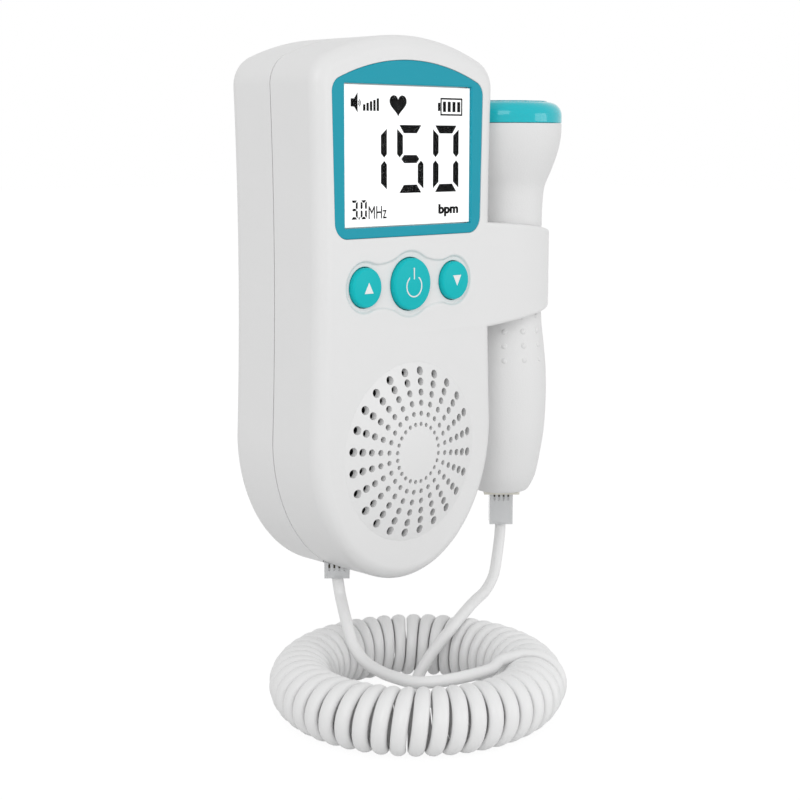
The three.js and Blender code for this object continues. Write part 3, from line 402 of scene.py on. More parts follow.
def through(points, steps):
    """A smooth curve through points of any dimension, with steps from each to the next."""
    held = [Vector(point) for point in points]
    held = [2 * held[0] - held[1], *held, 2 * held[-1] - held[-2]]
    found = []
    for a, b, c, d in zip(held, held[1:], held[2:], held[3:]):
        times = [0]
        for one, other in ((a, b), (b, c), (c, d)):
            times.append(times[-1] + max((other - one).length, 1e-6) ** 0.5)
        t0, t1, t2, t3 = times
        for step in range(steps):
            t = t1 + (t2 - t1) * step / steps
            ab = a * ((t1 - t) / (t1 - t0)) + b * ((t - t0) / (t1 - t0))
            bc = b * ((t2 - t) / (t2 - t1)) + c * ((t - t1) / (t2 - t1))
            cd = c * ((t3 - t) / (t3 - t2)) + d * ((t - t2) / (t3 - t2))
            abc = ab * ((t2 - t) / (t2 - t0)) + bc * ((t - t0) / (t2 - t0))
            bcd = bc * ((t3 - t) / (t3 - t1)) + cd * ((t - t1) / (t3 - t1))
            found.append(abc * ((t2 - t) / (t2 - t1)) + bcd * ((t - t1) / (t2 - t1)))
    found.append(held[-2])
    return found


# %% [markdown]
# ## The curly cord
# The cord is one strand of white jacketed wire. It leaves the plug under the housing, is wound into a
# spring that lies in a ring, and rises again to the plug under the probe. A curve with a round bevel
# would do for a plain lead, but the strand of a curly cord is pressed oval where its curls crowd each
# other on the inside of the ring, so here the tube is built ring by ring from its own formula.

# %% Cord route
STRAND_RADIUS = 1.4
LEAD_RADIUS = 1.5
COIL_RADIUS = 8
CURL_RADIUS = COIL_RADIUS - STRAND_RADIUS
RING_CENTRE = (-6.1, -40.2, -56)
RING_RADIUS = 28.8
CURLS = 46.5
CURL_STEPS = 32
STRAND_SIDES = 14
RING_START = math.radians(-50)
RING_GAP = math.radians(10)
PACE = (2 * math.pi - RING_GAP) / CURLS  # from curl to curl, round the ring
START_LIFT = 0.8
CURL_WIDTH = 3.85  # of the strand in the curls, where there is room for it
CURL_SPACE = 0.25  # from one curl to the next, where they crowd

UNIT_LEAD = [
    (-10.1, -15.5, -33.5), (-10, -16.3, -37.7), (-11.4, -18.9, -40.5), (-13.2, -22.3, -43.7),
    (-14.5, -25.9, -48.2), (-15.3, -30.4, -50.9), (-16.7, -37.9, -51.8), (-18.4, -45.4, -51.2),
    (-18.2, -51.9, -50.8), (-14.8, -56.4, -50.2), (-10.5, -58.1, -50.1), (-4.7, -58.9, -50.2),
    (0.8, -59, -50.2), (5.6, -57.8, -49.6),
]
PROBE_LEAD = [
    (49, -18.9, -28.9), (48.7, -18.9, -32.5), (47, -19.5, -38), (44.3, -20.7, -42.6),
    (39, -22.6, -45.5), (31, -25.9, -46.2), (22, -30.9, -46), (13.5, -33.4, -48.6),
    (7.4, -32.4, -54), (2.4, -31.9, -60), (-1.5, -35.9, -62.4), (-1.2, -42.9, -62.6),
    (2.5, -49.9, -62.6),
]


def curl_point(curls):
    """The strand's centre, the way out of the coil, and the strand's width after so many curls."""
    around = RING_START - PACE * curls
    phase = math.pi / 2 - 2 * math.pi * curls
    radius = CURL_RADIUS + START_LIFT * (1 - smooth(2 * curls))
    outward = Vector((math.cos(around), math.sin(around), 0))
    centre = Vector(RING_CENTRE) + outward * (RING_RADIUS + radius * math.cos(phase))
    centre.z += radius * math.sin(phase)
    away = outward * math.cos(phase) + Vector((0, 0, math.sin(phase)))
    room = PACE * (RING_RADIUS + radius * math.cos(phase)) - CURL_SPACE
    width = min(CURL_WIDTH, room) / (2 * STRAND_RADIUS)
    free = smooth(4 * curls) * smooth(4 * (CURLS - curls))
    return centre, away, 1 + (width - 1) * free


def coil_frames():
    frames = []
    small = 1 / 64
    for step in range(int(CURLS * CURL_STEPS) + 1):
        curls = step / CURL_STEPS
        centre, away, width = curl_point(curls)
        along = (curl_point(curls + small)[0] - curl_point(curls - small)[0]).normalized()
        across = along.cross(away).normalized()
        frames.append((centre, across.cross(along).normalized(), across, STRAND_RADIUS, width))
    return frames


def cord_frames():
    coil = coil_frames()
    small = 1 / 64
    first, last = coil[0], coil[-1]
    start_way = (curl_point(small)[0] - curl_point(-small)[0]).normalized()
    end_way = (curl_point(CURLS + small)[0] - curl_point(CURLS - small)[0]).normalized()
    lead_in = free_lead(UNIT_LEAD, first, start_way)
    lead_out = free_lead(PROBE_LEAD, last, -end_way)
    return [*lead_in[::-1], *coil, *lead_out]


def free_lead(points, frame_end, way):
    """Frames from the coil's end out along a lead, each carried on from the one before."""
    centre, side, across = frame_end[:3]
    route = [Vector(point) for point in points]
    route.append(centre - way * 2 * STRAND_RADIUS)
    line = through(route, 10)[::-1]
    flip = 1 if side.cross(across).dot(way) > 0 else -1
    frames = []
    for index, point in enumerate(line):
        before, after = line[max(index - 1, 0)], line[min(index + 1, len(line) - 1)]
        back = (before - after).normalized()
        side = (side - back * side.dot(back)).normalized()
        radius = STRAND_RADIUS + (LEAD_RADIUS - STRAND_RADIUS) * smooth(index / 12)
        frames.append((point, side, back.cross(side) * flip, radius, 1))
    return frames


# %% Cord mesh
route = cord_frames()
cord_surface = Surface()
cord_rings = []
for centre, side, across, radius, width in route:
    turns = [2 * math.pi * corner / STRAND_SIDES for corner in range(STRAND_SIDES)]
    cord_rings.append(cord_surface.ring([
        centre + side * (radius * math.cos(turn)) + across * (radius * width * math.sin(turn))
        for turn in turns
    ]))
cord_surface.strip(cord_rings)
cord_surface.fill(cord_rings[0])
cord_surface.fill(cord_rings[-1])
cord = cord_surface.made("curly_cord", cord_white, sharp=60)
cord_path = [centre * MM for centre, *_ in route]
cord_length = sum((after - before).length for before, after in zip(cord_path, cord_path[1:]))
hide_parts("cord_lead_unit", "cord_coil", "cord_lead_probe")
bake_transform(cord)
print(f"cord: {cord_length:.3f} m of strand in {CURLS} curls and two leads")

# %% [markdown]
# ## The housing's outline
# Seen from the front, the housing is a half circle around the loudspeaker, two slightly waisted sides,
# two small shoulders and a flat arch. One function gives that outline at any inset, with the same
# number of points, so the face, the wall, the fillet and the lip all come from it.

# %% Housing outline
DEPTH = 31.9
LOWER_HALF = 31.3
FOOT_CENTRE = 4
FOOT_REACH = 36.7
SHOULDER_HALF = 30.75
WAIST_DRAW = 1.9
CORNER_RADIUS = 7.6
ARCH_RADIUS = 68
TOP = 101.9
EDGE = 3.3
FACE = -DEPTH
FACE_INNER = FACE + 2.4
REAR_INNER = -2.6
SEAM = -15.5
ARCH_CENTRE = TOP - ARCH_RADIUS
CORNER_X = SHOULDER_HALF - CORNER_RADIUS
CORNER_Z = ARCH_CENTRE + math.sqrt((ARCH_RADIUS - CORNER_RADIUS) ** 2 - CORNER_X**2)
QUARTER = math.pi / 2


def housing_outline(inset):
    foot, shoulder = LOWER_HALF - inset, SHOULDER_HALF - inset
    tall = (FOOT_REACH - inset) / foot
    turn = math.atan2(CORNER_Z - ARCH_CENTRE, CORNER_X)
    waist = ((foot + shoulder) / 2 - WAIST_DRAW, (FOOT_CENTRE + CORNER_Z) / 2)
    half = [
        *[(x, FOOT_CENTRE + z * tall) for x, z in arc(0, 0, foot, -QUARTER, 0, 40)],
        *bezier([(foot, FOOT_CENTRE), waist, (shoulder, CORNER_Z)], 30),
        *arc(CORNER_X, CORNER_Z, CORNER_RADIUS - inset, 0, turn, 16),
        *arc(0, ARCH_CENTRE, ARCH_RADIUS - inset, turn, QUARTER, 20),
    ]
    return both_sides(half, TOP - inset)


def fillet(edge, face, inward, steps=10):
    """Insets and depths round an edge, from the side wall to the face, with a held straight after it."""
    rings = []
    for step in range(steps + 1):
        turn = QUARTER * step / steps
        rings.append((edge * (1 - math.cos(turn)), face + inward * edge * (1 - math.sin(turn))))
    return [(0, face + inward * (edge + 0.3)), *rings, (edge + 0.2, face)]


# %% [markdown]
# ## The front shell
# The front shell carries everything that shows: the pocket for the bezel, the shallow three-lobed
# recess of the buttons, and the round opening that the grille rises from. It could be carved out of a
# block with booleans, but small fillets are cleaner when the surface is laid out directly, so the face
# is filled around the outlines of its openings and each opening gets its own wall.

# %% Outlines on the face
BEZEL_TOP, BEZEL_FOOT, BEZEL_LOW = 25.8, 25.1, 53.8
BEZEL_FOOT_ROUND, BEZEL_CORNER_ROUND, BEZEL_ARCH = 4, 3.5, ARCH_RADIUS - 6.1
WINDOW_HALF, WINDOW_LOW, WINDOW_HIGH = 21.9, 56.2, 90
BUTTON_Z, BUTTON_SPACING = 42, 15.4
BUTTONS = {
    "up_button": (-BUTTON_SPACING, 4.8),
    "power_button": (0, 6.4),
    "down_button": (BUTTON_SPACING, 4.8),
}
RECESS_DEPTH = 0.5
RECESS_SIDE, RECESS_POWER = 6.3, 8.2
GRILLE_RADIUS, GRILLE_RISE = 22.6, 3
POCKET_DEPTH = 1.8


def bezel_outline(spread):
    foot, top, low = BEZEL_FOOT + spread, BEZEL_TOP + spread, BEZEL_LOW - spread
    foot_round, corner_round = BEZEL_FOOT_ROUND + spread, BEZEL_CORNER_ROUND + spread
    arch = BEZEL_ARCH + spread
    x = top - corner_round
    z = ARCH_CENTRE + math.sqrt((arch - corner_round) ** 2 - x**2)
    turn = math.atan2(z - ARCH_CENTRE, x)
    half = [
        (0, low),
        *arc(foot - foot_round, low + foot_round, foot_round, -QUARTER, 0, 12),
        (foot, low + foot_round),
        *arc(x, z, corner_round, 0, turn, 12),
        *arc(0, ARCH_CENTRE, arch, turn, QUARTER, 16),
    ]
    return both_sides(half, ARCH_CENTRE + arch)


def window_outline(spread, radius=0.4):
    half, low, high = WINDOW_HALF + spread, WINDOW_LOW - spread, WINDOW_HIGH + spread
    corners = [(-half, low), (half, low), (half, high), (-half, high)]
    return softened(corners, [radius] * 4, steps=3, hold=0.05)


def recess_outline(spread):
    side, power = math.radians(68), math.radians(122)
    handle = (BUTTON_SPACING - RECESS_POWER) / 3
    lobes = [
        (-BUTTON_SPACING, RECESS_SIDE, 2 * math.pi - side, side),
        (0, RECESS_POWER, power, math.pi - power),
        (BUTTON_SPACING, RECESS_SIDE, math.pi - side, side - math.pi),
        (0, RECESS_POWER, power - math.pi, -power),
    ]

    def at(x, radius, turn):
        return x + radius * math.cos(turn), BUTTON_Z + radius * math.sin(turn)

    def beyond(point, turn, reach):
        return point[0] + reach * math.sin(turn), point[1] - reach * math.cos(turn)

    outline = []
    for index, (x, radius, enter, leave) in enumerate(lobes):
        next_x, next_radius, next_enter, _ = lobes[(index + 1) % len(lobes)]
        start, end = at(x, radius, leave), at(next_x, next_radius, next_enter)
        outline += arc(x, BUTTON_Z, radius, enter, leave, 28)
        outline += bezier(
            [start, beyond(start, leave, handle), beyond(end, next_enter, -handle), end], 10
        )
    return offset(outline[::-1], spread)


# %% Front shell
def front_shell():
    shell = Surface()
    inner = [(2.2, FACE_INNER), (2.2, SEAM - 1.8), (1.2, SEAM - 1.8), (1.2, SEAM - 0.15)]
    outer = [(0.12, SEAM - 0.15), (0, SEAM - 0.27), *fillet(EDGE, FACE, 1)]
    rings = [shell.ring(level(housing_outline(inset), depth)) for inset, depth in inner + outer]
    shell.strip(rings)
    openings, inner_openings = [], []

    def opening(shape, spreads):
        walls = [shell.ring(level(shape(spread), depth)) for spread, depth in spreads]
        shell.strip(walls)
        openings.append(walls[0])
        return walls[-1]

    pocket = opening(bezel_outline, [
        (0.34, FACE), (0.24, FACE), (0.16, FACE + 0.03), (0.12, FACE + 0.1), (0.12, FACE + POCKET_DEPTH),
    ])
    ledge = [shell.ring(level(window_outline(0.5), depth)) for depth in (FACE + POCKET_DEPTH, FACE_INNER)]
    shell.strip(ledge)
    shell.fill(pocket, ledge[0])
    inner_openings.append(ledge[1])
    floor = FACE + RECESS_DEPTH
    recess = opening(recess_outline, [
        (0.5, FACE), (0.3, FACE), (0.12, FACE + 0.04), (-0.05, FACE + 0.16), (-0.15, FACE + 0.32),
        (-0.28, FACE + 0.44), (-0.45, floor), (-0.6, floor),
    ])
    holes = []
    for x, radius in BUTTONS.values():
        hole = [
            shell.ring(level(circle(x, BUTTON_Z, radius + spread), depth))
            for spread, depth in ((0.3, floor), (0.2, floor + 0.1), (0.2, FACE_INNER))
        ]
        shell.strip(hole)
        holes.append(hole[0])
        inner_openings.append(hole[-1])
    shell.fill(recess, *holes)
    rim = [shell.ring(level(circle(0, 0, GRILLE_RADIUS, 96), depth)) for depth in (FACE, FACE_INNER)]
    shell.strip(rim)
    openings.append(rim[0])
    inner_openings.append(rim[1])
    shell.fill(rings[-1], *openings)
    shell.fill(rings[0], *inner_openings)
    return shell.made("front_housing", shell_white)


front_housing = front_shell()
print("front shell:", len(front_housing.data.polygons), "faces before the holder")

# %% [markdown]
# ## The holder
# A band leaves the face at the right, flush with it and without a seam, wraps the probe's neck and
# ends in a free leg at the rear, so the probe snaps in from behind. It is a sweep of one rounded
# section whose thickness changes from a solid root to a thin wall, so it is lofted station by station
# from an outer and an inner line, and then joined to the shell.

# %% Holder band
PROBE = (49, FACE + 13)
BAND_BORE, BAND_OUTER = 10.9, 12.35
BAND_LEG_END = -8
BAND_ROOT = SHOULDER_HALF - WAIST_DRAW - EDGE
BAND_TOP = [(BAND_ROOT, 56.3), (49, 55), (58.75, 52.6)]
BAND_TOP_CORNER = [(58.75, 52.6), (62.35, 51.3), (62.35, 47.4)]
BAND_FOOT = [(BAND_ROOT, 28.8), (49, 30.1), (58.75, 33)]
BAND_FOOT_CORNER = [(58.75, 33), (62.35, 34.3), (62.35, 38.2)]


def height_at(x, *curves):
    """The height of a front-view edge at some x, found along its curves."""
    for curve in curves:
        fine = [*bezier(curve, 60), curve[-1]]
        for (x0, z0), (x1, z1) in zip(fine, fine[1:]):
            if x <= x1:
                return z0 + (z1 - z0) * (x - x0) / (x1 - x0)
    return curves[-1][-1][1]


def band_stations():
    """Pairs of an outer and an inner point in plan, from the root to the leg's end."""
    face = FACE - 0.002
    depth = SEAM - 0.17
    pairs = [((x, face), (x, FACE + 1.8)) for x in (BAND_ROOT + 0.3, BAND_ROOT + 3)]
    pairs += [((x, face), (x, depth)) for x in (BAND_ROOT + 3.6, 30.5, 32.5, 34.5, 36, 36.65)]
    wrap = math.radians(-75)
    reach = BAND_OUTER / 3
    start = (PROBE[0] - BAND_OUTER, face)
    end = (PROBE[0] + BAND_OUTER * math.cos(wrap), PROBE[1] + BAND_OUTER * math.sin(wrap))
    lead = [
        start, (start[0] + reach, face),
        (end[0] + reach * math.sin(wrap), end[1] - reach * math.cos(wrap)), end,
    ]
    outer_line = [*bezier(lead, 40), end]
    corner = PROBE[0] - BAND_BORE
    pairs += [(outer_line[2], (outer_line[2][0], depth)), (outer_line[4], (corner - 0.02, depth))]
    for step in range(35):
        share = step / 34
        turn = math.pi + share * (math.pi + wrap)
        inner = (PROBE[0] + BAND_BORE * math.cos(turn), PROBE[1] + BAND_BORE * math.sin(turn))
        pairs.append((outer_line[round(5 + 35 * share)], inner))
    for step in range(1, 19):
        turn = wrap - wrap * step / 18
        pairs.append(tuple(
            (PROBE[0] + radius * math.cos(turn), PROBE[1] + radius * math.sin(turn))
            for radius in (BAND_OUTER, BAND_BORE)
        ))
    half = (BAND_OUTER - BAND_BORE) / 2
    for y in (-16, -12.5, BAND_LEG_END - half):
        pairs.append(((PROBE[0] + BAND_OUTER, y), (PROBE[0] + BAND_BORE, y)))
    for step in range(1, 6):
        turn = QUARTER * step / 5.4
        y = BAND_LEG_END - half + half * math.sin(turn)
        middle = PROBE[0] + BAND_BORE + half
        reach = half * math.cos(turn)
        pairs.append(((middle + reach, y), (middle - reach, y)))
    return pairs


def band():
    surface = Surface()
    rings = []
    for outer, inner in band_stations():
        thick = math.dist(outer, inner)
        corners = [
            (0, height_at(outer[0], BAND_FOOT, BAND_FOOT_CORNER)),
            (0, height_at(outer[0], BAND_TOP, BAND_TOP_CORNER)),
            (thick, height_at(inner[0], BAND_TOP, BAND_TOP_CORNER)),
            (thick, height_at(inner[0], BAND_FOOT, BAND_FOOT_CORNER)),
        ]
        edge = min(0.9, 0.5 * thick)
        inner_edge = min(0.3, 0.2 * thick)
        section = softened(
            corners, [edge, edge, inner_edge, inner_edge], steps=5, hold=min(0.1, 0.06 * thick)
        )
        rings.append(surface.ring([
            (outer[0] + (inner[0] - outer[0]) * along / thick,
             outer[1] + (inner[1] - outer[1]) * along / thick, z)
            for along, z in section
        ]))
    surface.strip(rings)
    surface.fill(rings[0])
    surface.fill(rings[-1])
    return surface.made("holder_band", shell_white, sharp=40)


joined(front_housing, band())
PLUG_HALF = (3.5, 3.1)
UNIT_PLUG = (-10.1, SEAM)
PLUG_TURN = -math.pi / 4
MOUTH = ((-PLUG_HALF[0], -PLUG_HALF[1], -40), (*PLUG_HALF, -20))
joined(front_housing, block(*MOUTH, turned=PLUG_TURN, about=UNIT_PLUG), "DIFFERENCE")
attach(front_housing, "unit")
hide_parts("front_shell")
print("front shell with holder:", len(front_housing.data.polygons), "faces")

# %% [markdown]
# ## The grille
# The loudspeaker sits behind a shallow dome of the shell, pierced by six rings of holes that shrink
# towards the middle. What repeats by a rule is a job for Geometry Nodes: a point per hole, placed by
# its ring and spoke, an instanced cutter scaled to the hole, and one boolean at the end.

# %% Grille dome
RINGS, SPOKES = 6, 24
OUTER_RING, RING_STEP = 20.4, 2.62
OUTER_HOLE, INNER_HOLE = 1.1, 0.55
GRILLE_WALL = 1.5
DOME = (GRILLE_RADIUS**2 + GRILLE_RISE**2) / (2 * GRILLE_RISE)


def dome_depth(radius, sphere):
    return FACE + DOME - GRILLE_RISE - math.sqrt(sphere**2 - radius**2)


def across(x, z):
    """Places a turned profile about an axis from front to rear."""
    return lambda a, b, height: (x + a, height, z + b)


def grille_dome():
    rim = GRILLE_RADIUS - 0.01
    steps = 14
    outer = [(rim * step / steps, dome_depth(rim * step / steps, DOME)) for step in range(steps + 1)]
    inner_rim = rim - GRILLE_WALL
    inner = [
        (inner_rim * step / steps, dome_depth(inner_rim * step / steps, DOME - GRILLE_WALL))
        for step in range(steps + 1)
    ]
    surface = Surface()
    surface.turn([*outer, (rim, FACE_INNER), (inner_rim, FACE_INNER), *inner[::-1]], across(0, 0), 96)
    return surface.made("speaker_grille", shell_white)


def empty_tree(name, sizes):
    """A node tree with a geometry in and out and a named input for each size."""
    tree = bpy.data.node_groups.new(name, "GeometryNodeTree")
    graph = Graph(tree)
    tree.interface.new_socket("Geometry", in_out="INPUT", socket_type="NodeSocketGeometry")
    for size, (_, kind) in sizes.items():
        tree.interface.new_socket(size, in_out="INPUT", socket_type=f"NodeSocket{kind}")
    tree.interface.new_socket("Geometry", in_out="OUTPUT", socket_type="NodeSocketGeometry")
    start = tree.nodes.new("NodeGroupInput")
    given = {socket.name: Value(graph, socket) for socket in start.outputs if socket.name}
    return tree, graph, given


def grown(piece, tree, sizes):
    """Sets a node tree's named inputs on a piece and keeps the mesh that comes out."""
    growth = piece.modifiers.new("growth", "NODES")
    growth.node_group = tree
    for socket in tree.interface.items_tree:
        if socket.in_out == "INPUT" and socket.name in sizes:
            growth[socket.identifier] = sizes[socket.name][0]
    view = bpy.context.evaluated_depsgraph_get()
    result = bpy.data.meshes.new_from_object(piece.evaluated_get(view))
    piece.modifiers.clear()
    piece.data = result
    shaded(result)
    return piece


def pierced(piece):
    sizes = {
        "Rings": (RINGS, "Int"), "Spokes": (SPOKES, "Int"), "Outer ring": (OUTER_RING * MM, "Float"),
        "Ring step": (RING_STEP * MM, "Float"), "Outer hole": (OUTER_HOLE * MM, "Float"),
        "Inner hole": (INNER_HOLE * MM, "Float"), "Face": (FACE * MM, "Float"),
        "Length": (16 * MM, "Float"),
    }
    tree, graph, given = empty_tree("grille_holes", sizes)
    index = graph.node("GeometryNodeInputIndex")
    ring = (index / given["Spokes"]).maths("FLOOR", index / given["Spokes"] + 0.001)
    spoke = index - ring * given["Spokes"]
    turn = (spoke + 0.5) * (2 * math.pi) / given["Spokes"]
    radius = given["Outer ring"] - ring * given["Ring step"]
    share = ring / (given["Rings"] - 1)
    hole = given["Outer hole"] + (given["Inner hole"] - given["Outer hole"]) * share
    place = graph.node("ShaderNodeCombineXYZ", inputs={
        "X": radius * turn.maths("COSINE", turn),
        "Y": given["Face"],
        "Z": radius * turn.maths("SINE", turn),
    })
    points = graph.node("GeometryNodePoints", inputs={
        "Count": given["Rings"] * given["Spokes"], "Position": place,
    })
    cutter = graph.node("GeometryNodeMeshCylinder", inputs={"Vertices": 20, "Radius": 1, "Depth": 1})
    size = graph.node("ShaderNodeCombineXYZ", inputs={"X": hole, "Y": hole, "Z": given["Length"]})
    cutters = graph.node("GeometryNodeInstanceOnPoints", inputs={
        "Points": points, "Instance": cutter, "Rotation": (QUARTER, 0, 0), "Scale": size,
    })
    real = graph.node("GeometryNodeRealizeInstances", inputs={"Geometry": cutters})
    cut = graph.node(
        "GeometryNodeMeshBoolean", {"operation": "DIFFERENCE", "solver": "MANIFOLD"},
        {"Mesh 1": given["Geometry"], "Mesh 2": real},
    )
    done = graph.node("GeometryNodeSetMaterial", inputs={"Geometry": cut, "Material": shell_white})
    end = tree.nodes.new("NodeGroupOutput")
    graph.feed(end, {"Geometry": done})
    return grown(piece, tree, sizes)


speaker_grille = pierced(grille_dome())
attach(speaker_grille, "unit")
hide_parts("front_shell")
print("grille:", RINGS * SPOKES, "holes,", len(speaker_grille.data.polygons), "faces")

# %% [markdown]
# ## The rear shell
# The rear shell meets the front one in a fine seam and laps it with a lip. Its flat back has a door
# over two cells and four deep screw wells. Its forms are plain blocks and pins, so booleans suit it: a
# lofted shell, then posts and a bay added, then wells, recess and pocket cut.

# %% Rear shell
SCREWS = [(-13, 94.7), (13, 94.7), (-19.937, -15.576), (19.937, -15.576)]
WELL_RADIUS, POST_RADIUS, WELL_FLOOR = 2.2, 3.2, SEAM + 2.2
BAY_HALF, BAY_LOW, BAY_HIGH, BAY_FLOOR, BAY_WALL = 14.85, 14, 71.65, -16.7, 1.3
DOOR_HALF, DOOR_LOW, DOOR_HIGH, DOOR_ROUND = 17.35, 11.5, 74.15, 2.8
DOOR_SUNK = -1.9
HOOK_X, HOOK_HALF = 9, 2.8


def tool(outline, near, far):
    surface = Surface()
    surface.prism(outline, near, far)
    return surface.made("tool", shell_white)


def panel_outline(half, low, high, radius):
    corners = [(-half, low), (half, low), (half, high), (-half, high)]
    return softened(corners, [radius] * 4, steps=6, hold=0.1)


def rear_shell():
    shell = Surface()
    lip = SEAM - 1.5
    profile = [
        (2.2, REAR_INNER), (2.2, lip), (1.5, lip), (1.5, SEAM + 0.15), (0.12, SEAM + 0.15),
        (0, SEAM + 0.27), *fillet(EDGE, 0, -1),
    ]
    rings = [shell.ring(level(housing_outline(inset), depth)) for inset, depth in profile]
    shell.strip(rings)
    shell.fill(rings[0])
    shell.fill(rings[-1])
    piece = shell.made("rear_housing", shell_white)
    for x, z in SCREWS:
        joined(piece, tool(circle(x, z, POST_RADIUS, 40), SEAM, REAR_INNER + 0.4))
    low, high = BAY_LOW - BAY_WALL, BAY_HIGH + BAY_WALL
    joined(piece, block(
        (-BAY_HALF - BAY_WALL, BAY_FLOOR - BAY_WALL, low), (BAY_HALF + BAY_WALL, REAR_INNER + 0.4, high)
    ))
    for x, z in SCREWS:
        joined(piece, tool(circle(x, z, WELL_RADIUS, 40), WELL_FLOOR, 1), "DIFFERENCE")
        joined(piece, tool(circle(x, z, 1.3, 24), SEAM - 1, WELL_FLOOR + 0.5), "DIFFERENCE")
    joined(piece, block((-BAY_HALF, BAY_FLOOR, BAY_LOW), (BAY_HALF, 1, BAY_HIGH)), "DIFFERENCE")
    recess = panel_outline(DOOR_HALF, DOOR_LOW, DOOR_HIGH, DOOR_ROUND)
    joined(piece, tool(recess, DOOR_SUNK, 1), "DIFFERENCE")
    for x in (-HOOK_X, HOOK_X):
        joined(piece, block(
            (x - HOOK_HALF, -5.8, DOOR_LOW), (x + HOOK_HALF, -1.6, BAY_LOW + 1)
        ), "DIFFERENCE")
        joined(piece, block(
            (x - HOOK_HALF, -5.8, DOOR_LOW - 1.8), (x + HOOK_HALF, REAR_INNER, DOOR_LOW + 0.3)
        ), "DIFFERENCE")
    joined(piece, block(*MOUTH, turned=PLUG_TURN, about=UNIT_PLUG), "DIFFERENCE")
    return piece


rear_housing = rear_shell()
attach(rear_housing, "unit")
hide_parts("rear_shell")
print("rear shell:", len(rear_housing.data.polygons), "faces")

# %% [markdown]
# ## The display
# A teal bezel frames a clear window. Behind the window lies the display, almost pure white, with its
# dark segments; its white is raised by a painted glow, an emission that its finish gives although it is
# no lamp. The digits are not type: each is built from the same seven bevelled strokes that a real
# segment display has, so one function draws every digit from a list of lit strokes.

# %% Bezel
def display_bezel():
    surface = Surface()
    near, far = FACE + 0.06, FACE + 1.5
    outer = [(0, far), (0, near + 0.25), (-0.06, near + 0.07), (-0.25, near), (-0.45, near)]
    inner = [(0.45, near), (0.3, near), (0.08, near + 0.08), (0, near + 0.3), (0, far)]
    walls = [surface.ring(level(bezel_outline(spread + 0.06), depth)) for spread, depth in outer]
    mouth = [surface.ring(level(window_outline(spread), depth)) for spread, depth in inner]
    surface.strip(walls)
    surface.strip(mouth)
    surface.fill(walls[-1], mouth[0])
    surface.fill(walls[0], mouth[-1])
    return surface.made("teal_bezel", bezel_teal)


teal_bezel = display_bezel()
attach(teal_bezel, "unit")
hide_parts("display_bezel")

# %% Segments and icons
SEGMENT_NEAR, SEGMENT_FAR = FACE + 0.65, FACE + 0.695
SHIFT = -0.4  # the drawing's centre, against the window's


def stroke_shapes(left, right, low, high, width):
    """The seven strokes of a digit, each an outline, by their usual letters."""
    middle = (low + high) / 2

    def level_bar(edge, inner):
        return [
            (left + 0.4 * width, edge), (right - 0.4 * width, edge),
            (right - 1.2 * width, inner), (left + 1.2 * width, inner),
        ]

    def side_bar(outer, sign, end, way):
        return [
            (outer, end - 0.5 * width * way), (outer + sign * width, end - 1.28 * width * way),
            (outer + sign * width, middle + 0.72 * width * way),
            (outer + sign * 0.45 * width, middle + 0.2 * width * way),
            (outer, middle + 0.62 * width * way),
        ]

    return {
        "a": level_bar(high, high - width),
        "d": level_bar(low, low + width),
        "f": side_bar(left, 1, high, 1),
        "b": side_bar(right, -1, high, 1),
        "e": side_bar(left, 1, low, -1),
        "c": side_bar(right, -1, low, -1),
        "g": [
            (left + 0.74 * width, middle), (left + 1.25 * width, middle + 0.5 * width),
            (right - 1.25 * width, middle + 0.5 * width), (right - 0.74 * width, middle),
            (right - 1.25 * width, middle - 0.5 * width), (left + 1.25 * width, middle - 0.5 * width),
        ],
    }


DIGITS = [
    ("bc", -14.6, -7.2, 64.2, 80.5, 1.95), ("afgcd", -3.7, 5.4, 64.2, 80.5, 1.95),
    ("abcdef", 8.8, 18.0, 64.2, 80.5, 1.95), ("abgcd", -19.1, -16.9, 58.3, 62.8, 0.58),
    ("abcdef", -15.9, -13.9, 58.3, 62.8, 0.58),
]


def box_outline(left, right, low, high):
    return [(left, low), (right, low), (right, high), (left, high)]


def heart_outline(left, right, low, high, steps=48):
    shape = []
    for step in range(steps):
        turn = 2 * math.pi * step / steps
        x = 16 * math.sin(turn) ** 3
        z = 13 * math.cos(turn) - 5 * math.cos(2 * turn) - 2 * math.cos(3 * turn) - math.cos(4 * turn)
        shape.append((x, z))
    lows = [min(axis) for axis in zip(*shape)]
    highs = [max(axis) for axis in zip(*shape)]
    return [
        (left + (right - left) * (x - lows[0]) / (highs[0] - lows[0]),
         low + (high - low) * (z - lows[1]) / (highs[1] - lows[1]))
        for x, z in shape
    ]


def shifted(outline):
    return [(x + SHIFT, z) for x, z in outline]


